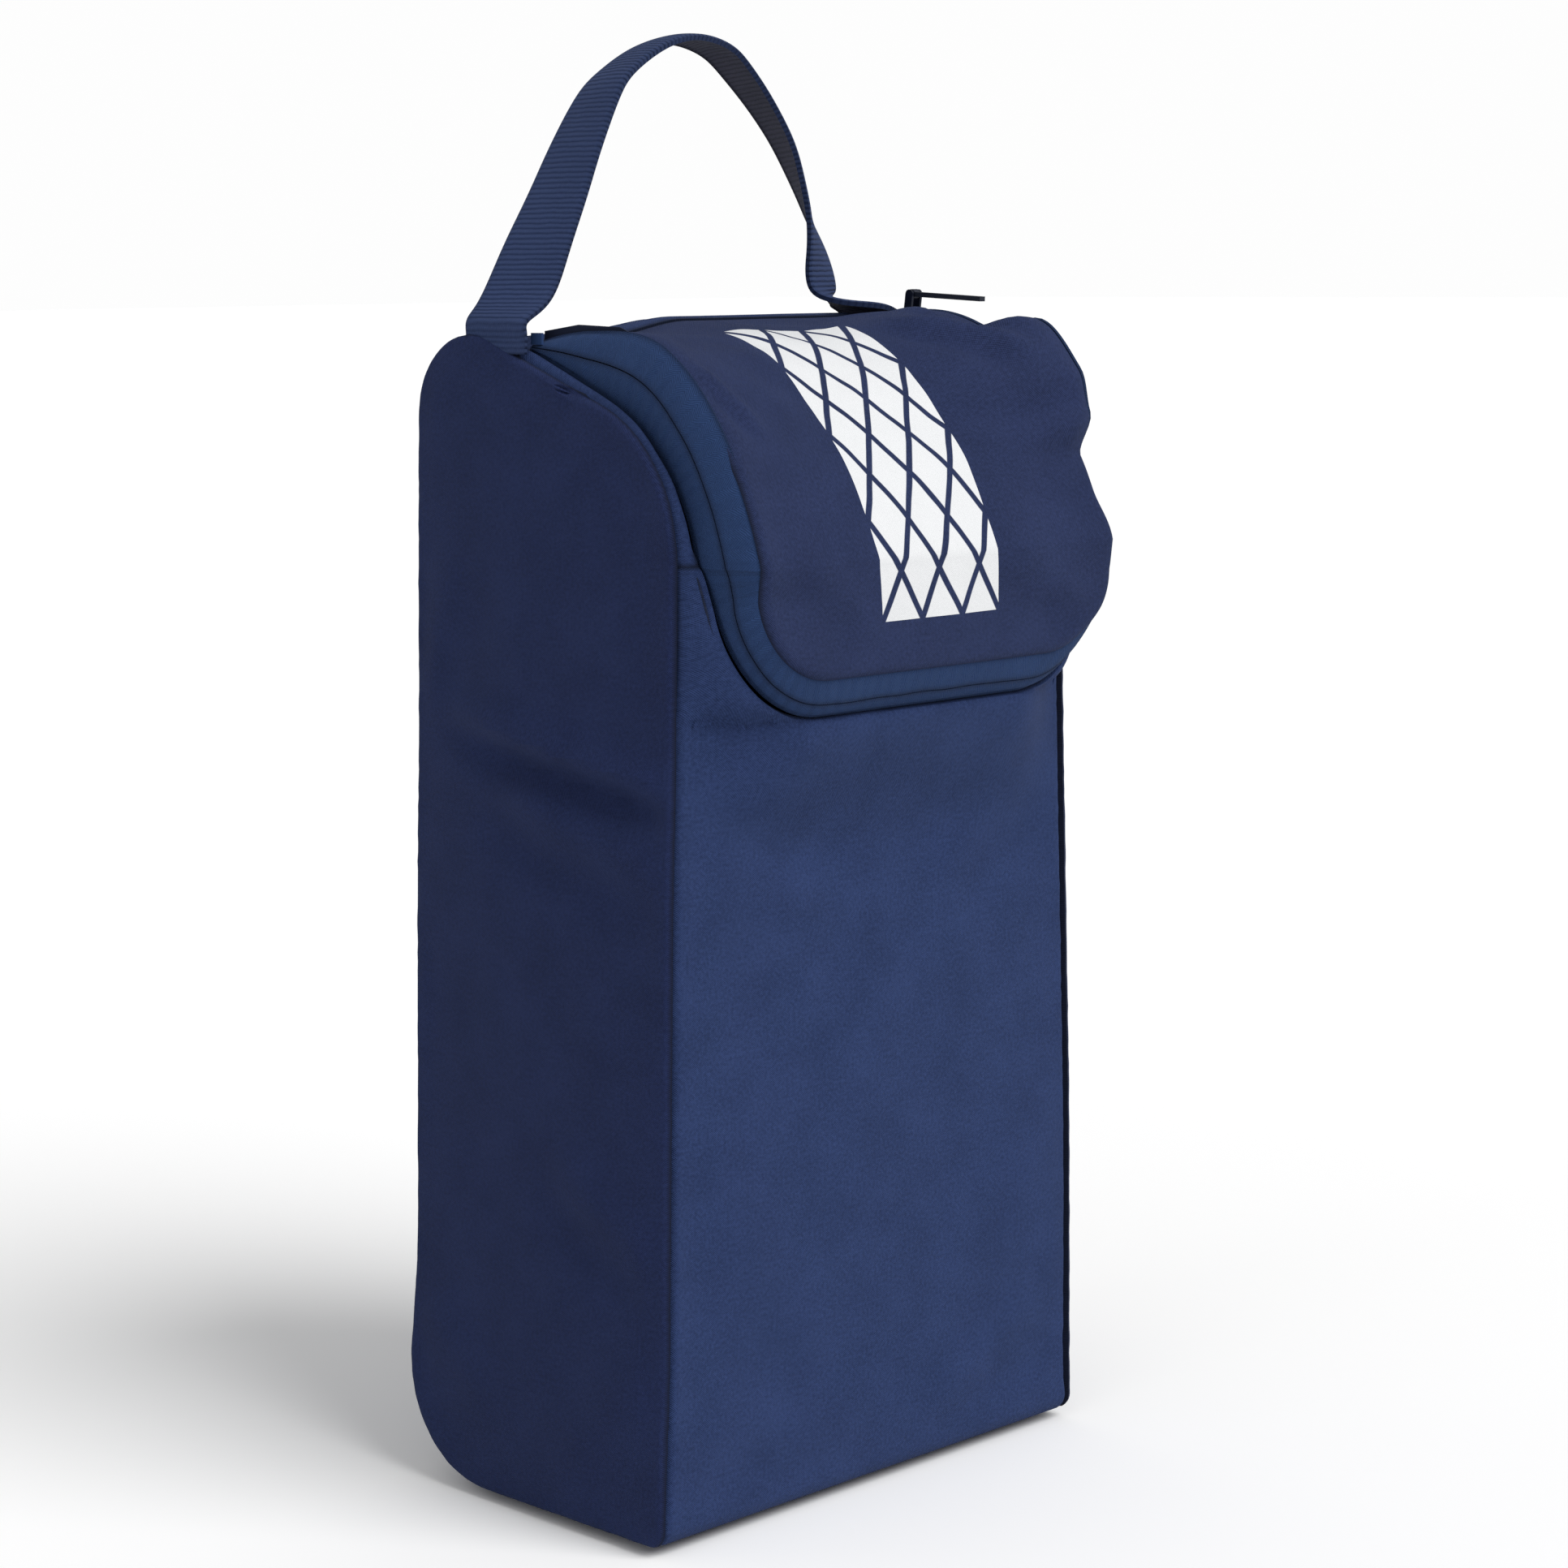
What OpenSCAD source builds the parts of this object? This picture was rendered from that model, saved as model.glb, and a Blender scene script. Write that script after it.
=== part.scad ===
// Golf shoe bag: a soft upright box with a hooded, zipped lid and a webbing handle.
// X is across, -Y is the front, +Z is up. The origin is the middle of the underside.

/* [Body] */
// Width across the side seams at the foot
base_w = 191; // [170:1:215]
// Width across the side seams at the crown
top_w = 171; // [165:1:190]
// Depth from the front seam to the back seam
depth = 118; // [108:1:140]
// Height of the side panels
height = 372; // [362:1:400]
// Height of the middle of the bend at the front shoulder
shoulder_z = 304; // [290:1:312]
// Radius of the bend at the front shoulder
shoulder_r = 50; // [42:1:58]
// Radius of the crown at the back
crown_r = 24; // [16:1:30]
// Radius of the foot at the back
foot_back_r = 38; // [20:1:50]
// Radius of the foot at the front
foot_front_r = 6; // [4:0.5:12]
// Height of the base seam above the ground
seam_lift = 5; // [3:0.5:8]
// How far a side panel bellies out
side_belly = 4; // [0:0.5:8]
// How far the front panel bellies out
front_belly = 3.5; // [0:0.5:8]
// How far the back panel bellies out
back_belly = 3; // [0:0.5:8]
// How far the top behind the lid stands above the side seams
crown_rise = 9.5; // [4:0.5:10]

/* [Cloth] */
// Thickness of the padded panels
cloth_t = 2; // [1.2:0.1:2.4]
// Thickness of the lid's lining
lining_t = 0.8; // [0.5:0.1:1.2]
// Thickness of the zip's tape
tape_t = 1.4; // [1:0.1:1.8]
// Thickness of the bindings over the inner seams
binding_t = 0.8; // [0.5:0.1:1.2]
// Width of the bindings over the inner seams
binding_w = 9; // [6:0.5:12]
// Clearance between two pieces that are sewn together
sew_gap = 0.25; // [0.2:0.05:0.4]

/* [Mouth] */
// Height of the front edge of the mouth
mouth_z = 257; // [245:1:262]
// Half of the width of the mouth
mouth_half_w = 80; // [74:0.5:81]
// Radius of the lower corners of the mouth
mouth_corner_r = 35; // [20:1:40]
// How far the mouth stands forward of the side seams
mouth_flare = 19; // [10:1:22]
// Height over which the front panel swells towards the mouth
flare_h = 48; // [30:1:70]

/* [Lid] */
// Height of the lid's front edge
lid_z = 269; // [266:0.5:276]
// Half of the width of the lid
lid_half_w = 77; // [70:0.5:77.5]
// Radius of the lid's lower corners
lid_corner_r = 28; // [16:1:32]
// Reach of the lid in front of the shoulder's middle
lid_front = 76.5; // [74:0.5:82]
// How far the lid's front leans out towards its lower edge
lid_lean = 2.5; // [0:0.5:5]
// Reach of the lid on the slope over the shoulder
lid_brow = 65.5; // [63:0.5:72]
// Height of the lid's back edge above the shoulder's middle
lid_back = 71; // [69:0.25:71.5]
// How far the lid's sides stand above its middle
lid_edge_lift = 8.5; // [4:0.5:9]
// Distance of the lid's hinge line behind the middle of the bag
hinge_y = 14.5; // [13:0.5:16]

/* [Zip] */
// Width of one row of the coil
coil_w = 1.7; // [1.2:0.1:2]
// Thickness of the coil
coil_t = 2; // [1.6:0.1:2.6]
// Running gap between the two rows of the coil
coil_gap = 0.6; // [0.4:0.1:1]
// Length of the fabric tab over each end of the zip
end_tab_l = 5; // [3:0.5:6]
// Height of the fabric tab over each end of the zip
end_tab_h = 3.6; // [2.5:0.1:4]

/* [Slider] */
// Length of the slider along the zip
slider_l = 12; // [9:0.5:13]
// Height of the slider's plate across the zip
slider_h = 8.6; // [6:0.2:9]
// Thickness of the slider's plate
slider_t = 1.3; // [1:0.1:1.5]
// Diameter of the pin that carries the pull
pin_d = 1.4; // [1:0.1:1.6]
// Running clearance of the pull's eye round its pin
pin_gap = 0.08; // [0.05:0.01:0.1]
// Clearance on each side of the pull's eye
eye_gap = 0.3; // [0.2:0.05:0.4]
// Length of the pull from its pin to its tip
pull_l = 31; // [24:1:36]
// Width of the pull
pull_w = 2.6; // [2:0.1:2.8]

/* [Handle] */
// Width of the webbing
handle_w = 28; // [20:1:30]
// Thickness of the webbing
handle_t = 1.6; // [1.2:0.1:2]
// Rise of the loop above its roots
handle_rise = 89; // [70:1:110]
// Distance from the hinge line of the lid back to the webbing's front edge
handle_set_back = -5.5; // [-5.5:0.5:-2]

/* [Hidden] */

// Centres of the side panel's four bends, as [y, z]
pole = [shoulder_r - depth / 2, shoulder_z];
crown = [depth / 2 - crown_r, height - crown_r];
foot_b = [depth / 2 - foot_back_r, seam_lift + foot_back_r];
foot_f = [foot_front_r - depth / 2, seam_lift + foot_front_r];
// Slope of the straight top edge between the shoulder and the crown
crown_step = crown - pole;
slope_a = atan2(crown_step[1], crown_step[0]) - asin((shoulder_r - crown_r) / norm(crown_step));
// Height of the hinge line, just under the lid's outer face, and the lid's clearance there
hinge_z = shoulder_z + lid_back + 1;
hinge_gap = 0.4;
// The handle turns on this line, at the webbing's back edge
handle_front_y = hinge_y + handle_set_back;
handle_axis_y = handle_front_y + handle_w + hinge_gap;
// The last station of the lid and of the mouth, see place()
back_q = 90 + hinge_y - hinge_gap - pole[0];
tape_end_gap = 2.5;
tape_end_q = back_q - tape_end_gap;
// Station where the slope over the shoulder begins
brow_q = 40;
// Rise of the mouth's edge over the side seam at the shoulder, on the slope and at the back
rim_front = 3.4;
rim_brow = 0.6;
rim_back = 4.5;
rim_back_run = 70;
// Least width over which the cloth climbs from the side seam to the mouth's edge
rim_w = 6;
// Height over which the zip's foot draws back under the mouth's edge
tape_tuck_h = 12;
// Stations where the lift of the lid's sides begins, and how far past the hinge it would end
lift_q = -10;
lift_past = 4;
// Distance across to the zip's outer face near the hinge
zip_out_x = max(mouth_half_w, lid_half_w + 3);
web_color = [0.16, 0.2, 0.3];
navy = [0.1, 0.14, 0.25];

// Half of the body's width across the side seams
function half_w(z) = (base_w + (top_w - base_w) * z / height) / 2;
// Where the panels that wrap round the body end, just inside the side panels
function wrap_half_w(z) = half_w(z) - cloth_t - sew_gap;
function ease(t) = let (u = min(1, max(0, t))) u * u * (3 - 2 * u);
function lerp(a, b, t) = a + (b - a) * t;
function steps(n) = [for (i = [0:n]) i / n];

// A station q runs up the bag's front and over its top: below 0 it is millimetres under the
// shoulder's middle, from 0 to 90 degrees round it, and past 90 millimetres behind it.
// The reach h is the distance out from the shoulder's middle.
function place(q, x, h) =
    q < 0 ? [x, pole[0] - h, pole[1] + q]
    : q <= 90 ? [x, pole[0] - h * cos(q), pole[1] + h * sin(q)]
    : [x, pole[0] + q - 90, pole[1] + h];
// Reach of the side seam
function seam_reach(q) =
    let (tangent_q = 90 - slope_a)
    q < tangent_q ? shoulder_r
    : q <= 90 ? shoulder_r / cos(q - tangent_q)
    : shoulder_r / cos(slope_a) + (q - 90) * tan(slope_a);
// How far the mouth's edge stands above the side seam
function mouth_rise(q) =
    q < 0 ? lerp(rim_front, mouth_flare, pow(min(1, -q / (shoulder_z - mouth_z)), 0.7))
    : q < brow_q ? lerp(rim_brow, rim_front, pow(1 - q / brow_q, 2))
    : lerp(rim_brow, rim_back, ease((q - brow_q) / rim_back_run));
// Half the width of the mouth at a height
function mouth_half_at(z) =
    let (r = mouth_corner_r, drop = r - min(r, max(0, z - mouth_z)))
    mouth_half_w - r + sqrt(pow(r, 2) - pow(drop, 2));
// The body's surface beside the mouth: it climbs from the seam to the mouth's edge, steeply on
// the narrow strips over the top and softly where the front panel is wide
function body_reach(q, x) =
    let (z = place(q, 0, seam_reach(q))[2],
        climb_w = max(rim_w, half_w(z) - cloth_t - mouth_half_at(z)),
        t = min(1, max(0, (half_w(z) - cloth_t - abs(x)) / climb_w)))
    seam_reach(q) + mouth_rise(q)
        * lerp(sin(90 * t), ease(t), min(1, (climb_w - rim_w) / mouth_corner_r));
// Reach of the lid's outer face
function lid_reach(q, x) =
    let (middle = q < 0 ? lid_front - lid_lean * q / (shoulder_z - lid_z)
            : q < brow_q ? lerp(lid_brow, lid_front, pow(1 - q / brow_q, 2))
            : lerp(lid_brow, lid_back, ease((q - brow_q) / (back_q - brow_q))),
        lift = q < lift_q ? 0
            : lid_edge_lift * sin(180 * (q - lift_q) / (back_q + lift_past - lift_q)))
    middle + max(0, lift) * pow(x / lid_half_w, 2);

// The edge of a tongue-shaped panel as [station, half width], from its back to its front
// corner; the front corner is an arc, and its lower edge is at a given depth
function tongue(half, low_q, r) =
    concat([for (t = steps(7)) [lerp(tape_end_q, 0, t), half]],
        [[(low_q + r) / 2, half]],
        [for (a = [0:15:90]) [low_q + r * (1 - sin(a)), half - r * (1 - cos(a))]],
        [[low_q, (half - r) / 2]]);
// The whole edge, with the sign of x: right side, front, left side
function both_sides(edge) =
    concat(edge, [[edge[len(edge) - 1][0], 0]],
        [for (i = [len(edge) - 1:-1:0]) [edge[i][0], -edge[i][1]]]);
function mouth_edge(inset) =
    both_sides(tongue(mouth_half_w - inset, mouth_z - shoulder_z + inset, mouth_corner_r - inset));
function lid_edge(inset) =
    both_sides(tongue(lid_half_w - inset, lid_z - shoulder_z + inset, lid_corner_r - inset));

// Faces of one side of a sheet of points, and of the rim between its two sides
function sheet_faces(rows, cols, start, turn) =
    [for (i = [0:rows - 2]) for (j = [0:cols - 2])
        let (a = start + i * cols + j, b = a + 1, c = b + cols, d = a + cols)
        each (turn ? [[a, d, c], [a, c, b]] : [[a, b, c], [a, c, d]])];
function rim_loop(rows, cols) =
    concat([for (j = [0:cols - 2]) j], [for (i = [0:rows - 2]) i * cols + cols - 1],
        [for (j = [cols - 1:-1:1]) (rows - 1) * cols + j], [for (i = [rows - 1:-1:1]) i * cols]);
function rim_faces(loop, n) =
    [for (k = [0:len(loop) - 1])
        let (a = loop[k], b = loop[(k + 1) % len(loop)])
        each [[a, b + n, a + n], [a, b, b + n]]];
// A closed sheet of cloth between its outer and its inner points, each a list of rows
module sheet(outer, inner) {
    rows = len(outer);
    cols = len(outer[0]);
    n = rows * cols;
    polyhedron(points = [for (side = [outer, inner]) for (row = side) for (p = row) p],
        faces = concat(sheet_faces(rows, cols, 0, true), sheet_faces(rows, cols, n, false),
            rim_faces(rim_loop(rows, cols), n)));
}

// Body panels

// Front of the body at a height and place across, without the swelling at the mouth
function front_y(x, z, t) =
    let (q = z - shoulder_z,
        belly = front_belly * sin(180 * min(1, max(0, (z - foot_f[1]) / (mouth_z - foot_f[1]))))
            * (1 - pow(x / half_w(z), 2)),
        swell = ease((z - mouth_z + flare_h) / flare_h))
    pole[0] - shoulder_r - belly + t - (z < mouth_z
        ? swell * (body_reach(mouth_z - shoulder_z, x) - shoulder_r)
        : body_reach(q, x) - shoulder_r);
// Upper edge of the front panel from the right seam to the left one, as [x, z]
function front_top_edge() =
    let (rim_z = shoulder_z - sew_gap,
        edge = [for (p = mouth_edge(0)) if (p[0] < 0) [p[1], shoulder_z + p[0]]],
        side = [[wrap_half_w(rim_z), rim_z], [mouth_half_w, rim_z]])
    concat(side, edge, [for (i = [1:-1:0]) [-side[i][0], side[i][1]]]);

module front_panel() {
    top = front_top_edge();
    last = len(top) - 1;
    low_z = foot_f[1] + sew_gap;
    low_w = wrap_half_w(low_z);
    function panel_point(i, t, inner) =
        let (low_x = lerp(top[i][0] / top[0][0], cos(180 * i / last), 0.3) * low_w,
            z = lerp(low_z, top[i][1], t),
            x = lerp(low_x, top[i][0], t))
        [x, front_y(x, z, inner), z];
    levels = concat([for (t = [0:0.12:0.6]) t], [for (t = [0.65:0.05:1.001]) t]);
    color(navy)
        sheet([for (t = levels) [for (i = [last:-1:0]) panel_point(i, min(1, t), 0)]],
            [for (t = levels) [for (i = [last:-1:0]) panel_point(i, min(1, t), cloth_t)]]);
}

// A row of a wrapping panel: a point of the side panel's outline and its outward direction
function arc_row(c, r, a) = [c[0] + r * cos(a), c[1] + r * sin(a), cos(a), sin(a)];
// A wrapping panel's points across one row; the swelling is 0 at the seams
function wrap_row(row, swell, inner) =
    let (w = wrap_half_w(row[1]))
    [for (x = [1, 0.93, 0.8, 0.5, 0, -0.5, -0.8, -0.93, -1])
        let (out = swell * ease((1 - abs(x)) / 0.2) - inner)
        [x * w, row[0] + row[2] * out, row[1] + row[3] * out]];

module back_panel() {
    up = [-sin(slope_a), cos(slope_a)];
    bends = concat(
        [for (a = [-30:10:0]) concat(arc_row(foot_b, foot_back_r, a), back_belly * (a + 30) / 60)],
        [for (t = [0.1, 0.3, 0.5, 0.7, 0.9])
            [depth / 2, lerp(foot_b[1], crown[1], t), 1, 0, back_belly * (0.6 + sin(180 * t) * 0.4)]],
        [for (a = [0:15:90]) concat(arc_row(crown, crown_r, a),
            lerp(back_belly / 2, crown_rise / 4, a / 90))],
        [for (t = [0.4, 0.7, 1])
            let (y = lerp(crown[0], hinge_y + hinge_gap, t))
            [y, pole[1] + min(crown[1] + crown_r - pole[1],
                shoulder_r / cos(slope_a) + (y - pole[0]) * tan(slope_a)), 0, 1,
                lerp(crown_rise / 4, crown_rise, t)]]);
    color(navy)
        sheet([for (b = bends) wrap_row(b, b[4], 0)], [for (b = bends) wrap_row(b, b[4], cloth_t)]);
}

module base_panel() {
    bends = concat(
        [for (a = [180:22.5:270]) concat(arc_row(foot_f, foot_front_r, a), 0)],
        [for (t = [0.2, 0.5, 0.95])
            [lerp(foot_f[0], foot_b[0], t), seam_lift, 0, -1, t < 0.2 ? 0 : seam_lift]],
        [for (a = [-90, -75, -60, -45, -32]) concat(arc_row(foot_b, foot_back_r, a),
            seam_lift * (1 - ease((a + 90) / 50)))]);
    color(navy)
        sheet([for (b = bends) wrap_row(b, b[4], 0)], [for (b = bends) wrap_row(b, b[4], cloth_t)]);
}

// Front and back edges of the side panel's outline at a height
function outline_front(z) =
    let (t1 = pole + shoulder_r * [-sin(slope_a), cos(slope_a)],
        t2 = crown + crown_r * [-sin(slope_a), cos(slope_a)])
    z < foot_f[1] ? foot_f[0] - sqrt(max(0, pow(foot_front_r, 2) - pow(z - foot_f[1], 2)))
    : z < pole[1] ? -depth / 2
    : z < t1[1] ? pole[0] - sqrt(pow(shoulder_r, 2) - pow(z - pole[1], 2))
    : z < t2[1] ? lerp(t1[0], t2[0], (z - t1[1]) / (t2[1] - t1[1]))
    : crown[0] - sqrt(max(0, pow(crown_r, 2) - pow(z - crown[1], 2)));
function outline_back(z) =
    z < foot_b[1] ? foot_b[0] + sqrt(max(0, pow(foot_back_r, 2) - pow(z - foot_b[1], 2)))
    : z < crown[1] ? depth / 2
    : crown[0] + sqrt(max(0, pow(crown_r, 2) - pow(z - crown[1], 2)));
function side_row(z, inner) =
    let (rise = sin(180 * (z - seam_lift) / (height - seam_lift)))
    [for (t = steps(8))
        [half_w(z) - inner + side_belly * pow(max(0, rise), 0.6) * (1 - pow(2 * t - 1, 2)),
            lerp(outline_front(z), outline_back(z), t), z]];
module side_panel() {
    levels = concat([for (a = [0:18:90]) seam_lift + foot_back_r * (1 - cos(a))],
        [for (t = [0.2:0.2:0.81]) lerp(foot_b[1], pole[1], t)],
        [for (t = [0:0.2:0.81]) lerp(pole[1], crown[1], t)],
        [for (a = [0:12:84]) crown[1] + crown_r * sin(a)], [height - 0.05]);
    color([0.13, 0.17, 0.27])
        sheet([for (z = levels) side_row(z, 0)], [for (z = levels) side_row(z, cloth_t)]);
}
module right_side_panel() side_panel();
module left_side_panel() mirror([1, 0, 0]) side_panel();

// Strip of the body between the side panel and the zip
module shoulder_gusset() {
    stations = [for (t = steps(13)) lerp(sew_gap, back_q, t)];
    function strip(q, inner) =
        let (z = place(q, 0, seam_reach(q))[2])
        [for (t = steps(3))
            let (x = lerp(mouth_half_w, wrap_half_w(z), t)) place(q, x, body_reach(q, x) - inner)];
    color(navy)
        sheet([for (q = stations) strip(q, 0)], [for (q = stations) strip(q, cloth_t)]);
}
module right_shoulder_gusset() shoulder_gusset();
module left_shoulder_gusset() mirror([1, 0, 0]) shoulder_gusset();

// Binding over the seam of the front and side panels, inside the bag
module seam_binding() {
    inner_y = -depth / 2 + cloth_t + sew_gap;
    low_z = foot_f[1] + cloth_t;
    high_z = mouth_z - flare_h;
    function strip(z, inner) =
        let (x = wrap_half_w(z) - sew_gap)
        [for (t = [1, 0]) [x - t * binding_w, inner_y + inner, z]];
    color("midnightblue")
        sheet([for (t = steps(3)) strip(lerp(low_z, high_z, t), 0)],
            [for (t = steps(3)) strip(lerp(low_z, high_z, t), binding_t)]);
}
module right_seam_binding() seam_binding();
module left_seam_binding() mirror([1, 0, 0]) seam_binding();

// Binding over the seam of the front and base panels, inside the bag
module base_seam_binding() {
    z = foot_f[1];
    w = wrap_half_w(z) - binding_w - 4 * sew_gap;
    y = foot_f[0] - foot_front_r + cloth_t + sew_gap;
    color("midnightblue")
        translate([-w, y, z + cloth_t])
            cube([2 * w, binding_t, binding_w]);
}

// Zip: a wall between the mouth's edge and the lid's edge, split along its middle

// Lower and upper points of the wall, set in by the given distance
function wall_foot(i, inset) =
    let (p = mouth_edge(inset + sew_gap)[i]) place(p[0], p[1], foot_reach(p));
function foot_reach(p) =
    p[0] < 0 ? pole[0] - front_y(p[1], shoulder_z + p[0], 0) - tape_t * max(0, 1 + p[0] / tape_tuck_h)
    : body_reach(p[0], p[1]) - tape_t;
function wall_head(i, inset) =
    let (p = lid_edge(inset)[i]) place(p[0], p[1], lid_reach(p[0], p[1]) - cloth_t - sew_gap);
// A point of the wall, a distance from its middle line towards the lid
function wall_point(i, inset, up) =
    let (foot = wall_foot(i, inset), head = wall_head(i, inset),
        half = norm(head - foot) / 2, along = max(-half, min(half, up)))
    (foot + head) / 2 + (head - foot) / (2 * half) * along;
wall_n = len(mouth_edge(0));
module wall_strip(low, high, outside, inside) {
    sheet([for (up = [high, low]) [for (i = [0:wall_n - 1]) wall_point(i, outside, up)]],
        [for (up = [high, low]) [for (i = [0:wall_n - 1]) wall_point(i, inside, up)]]);
}
far = 100;
coil_edge = coil_gap / 2 + coil_w;

module zip_tape_bag() color(web_color) wall_strip(-far, -coil_edge - sew_gap, 0, tape_t);
module zip_tape_lid() color(web_color) wall_strip(coil_edge + sew_gap, far, 0, tape_t);
module zip_coil_bag()
    color("darkslategray") wall_strip(-coil_edge, -coil_gap / 2, (tape_t - coil_t) / 2,
        (tape_t + coil_t) / 2);
module zip_coil_lid()
    color("darkslategray") wall_strip(coil_gap / 2, coil_edge, (tape_t - coil_t) / 2,
        (tape_t + coil_t) / 2);

// Lid

// Rows of the lid's surface, narrowed by an inset and let in by a depth
function lid_rows(inset, inner) =
    let (low_q = lid_z - shoulder_z + inset, r = lid_corner_r - inset,
        half = lid_half_w - inset,
        stations = concat([for (a = [0:15:90]) low_q + r * (1 - cos(a))],
            [for (t = steps(14)) lerp(0, back_q, t)]))
    [for (q = stations)
        let (e = min(r, q - low_q), w = half - r + sqrt(pow(r, 2) - pow(r - e, 2)))
        [for (t = [-1:0.2:1.01]) place(q, t * w, lid_reach(q, t * w) - inner)]];
module lid_panel() color([0.2, 0.25, 0.38]) sheet(lid_rows(0, 0), lid_rows(0, cloth_t));
module lid_lining() {
    depth_in = cloth_t + sew_gap;
    inset = tape_t + sew_gap;
    color("slategray") sheet(lid_rows(inset, depth_in), lid_rows(inset, depth_in + lining_t));
}
// Binding over the seam of the lid and its zip tape, inside the lid
module lid_seam_binding() {
    function strip(inset, i) =
        let (p = lid_edge(inset)[i], top = lid_reach(p[0], p[1]) - cloth_t - lining_t - 2 * sew_gap)
        [place(p[0], p[1], top), place(p[0], p[1], top - binding_w / 3)];
    bind_gap = 0.6;
    outside = tape_t + 2 * sew_gap + bind_gap;
    color("midnightblue")
        sheet([for (k = [0, 1]) [for (i = [0:wall_n - 1]) strip(outside, i)[k]]],
            [for (k = [0, 1]) [for (i = [0:wall_n - 1]) strip(outside + binding_t, i)[k]]]);
}

// Fabric tab sewn over one end of the zip, on the body's half of its tape
module zip_end_tab() {
    tab = place(tape_end_q, 0, body_reach(tape_end_q, mouth_half_w));
    color("midnightblue")
        translate([zip_out_x - flange_in, tab[1] - end_tab_l, tab[2] + sew_gap])
            cube([binding_t, end_tab_l, end_tab_h]);
}
module right_zip_end_tab() zip_end_tab();
module left_zip_end_tab() mirror([1, 0, 0]) zip_end_tab();

// Handle

// Heights where the handle's roots end and its loop starts, either side of the hinge line
root_z = hinge_z - hinge_gap / 2;
loop_z = hinge_z + hinge_gap / 2;
root_x = half_w(height) - cloth_t / 2;
// Root of the webbing, standing on the side seam
module handle_root() {
    ys = [for (t = steps(6)) lerp(handle_front_y, handle_front_y + handle_w, t)];
    function seam_z(y) =
        y < crown[0] - crown_r * sin(slope_a)
            ? pole[1] + shoulder_r / cos(slope_a) + (y - pole[0]) * tan(slope_a)
            : crown[1] + sqrt(pow(crown_r, 2) - pow(y - crown[0], 2));
    color(web_color)
        translate([root_x - handle_t / 2, 0, 0]) rotate([90, 0, 90])
            linear_extrude(handle_t)
                polygon(concat([for (y = ys) [y, seam_z(y) + sew_gap]],
                    [[handle_front_y + handle_w, root_z], [handle_front_y, root_z]]));
}
module right_handle_root() handle_root();
module left_handle_root() mirror([1, 0, 0]) handle_root();

// Middle line of the loop as shares of the roots' half distance and of the loop's rise, with
// the webbing's turn away from the bag's depth in degrees: it twists on its way to the right
loop_line = [[-1, 0, 0], [-0.93, 0.05, -8], [-0.87, 0.12, -11], [-0.79, 0.265, -6],
    [-0.69, 0.435, 1], [-0.595, 0.605, 7], [-0.485, 0.775, 13], [-0.39, 0.865, 18],
    [-0.225, 0.955, 21], [-0.04, 1, 22], [0.14, 0.965, 22], [0.26, 0.885, 24], [0.4, 0.755, 28],
    [0.515, 0.62, 32], [0.6, 0.465, 39], [0.65, 0.35, 45], [0.69, 0.245, 55], [0.71, 0.15, 63],
    [0.735, 0.08, 60], [0.8, 0.045, 35], [0.92, 0.03, 8], [1, 0, 0]];
module handle_webbing() {
    middle_y = handle_front_y + handle_w / 2;
    line = [for (p = loop_line) [p[0] * root_x, middle_y, loop_z + p[1] * handle_rise]];
    last = len(line) - 1;
    function half_width(i) =
        let (turn = loop_line[i][2]) handle_w / 2 * [sin(turn), cos(turn), 0];
    function out(i) =
        let (n = cross(line[min(last, i + 1)] - line[max(0, i - 1)], half_width(i)))
        i == 0 ? [-1, 0, 0] : i == last ? [1, 0, 0] : n / norm(n);
    function strip(i, side) =
        [for (edge = [1, -1]) line[i] + edge * half_width(i) + side * handle_t / 2 * out(i)];
    color(web_color)
        sheet([for (i = [0:last]) strip(i, 1)], [for (i = [0:last]) strip(i, -1)]);
}

// Slider: it runs along the outside of the zip's right side, near its end. Its own frame has
// the run along Y, towards the front at -Y, and X out from the bag.

// Slope of the slider's run
track_a = 8.5;
// The slider's middle is a station in front of the webbing
slider_clear = 3;
slider_q = 90 + handle_front_y - pole[0] - slider_l / 2 - slider_clear;
// The slider's back end stands this far above the body's edge
slider_seat = 2.6;
slider_y = pole[0] + slider_q - 90;
slider_z = pole[1] + body_reach(slider_q + slider_l / 2, mouth_half_w) - slider_l / 2 * sin(track_a)
    + slider_h / 2 + slider_seat;
plate_gap = 0.6;
plate_x = zip_out_x + plate_gap;
plate_corner_r = 1.6;
flange_in = 0.6;
flange_t = 1;
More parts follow.
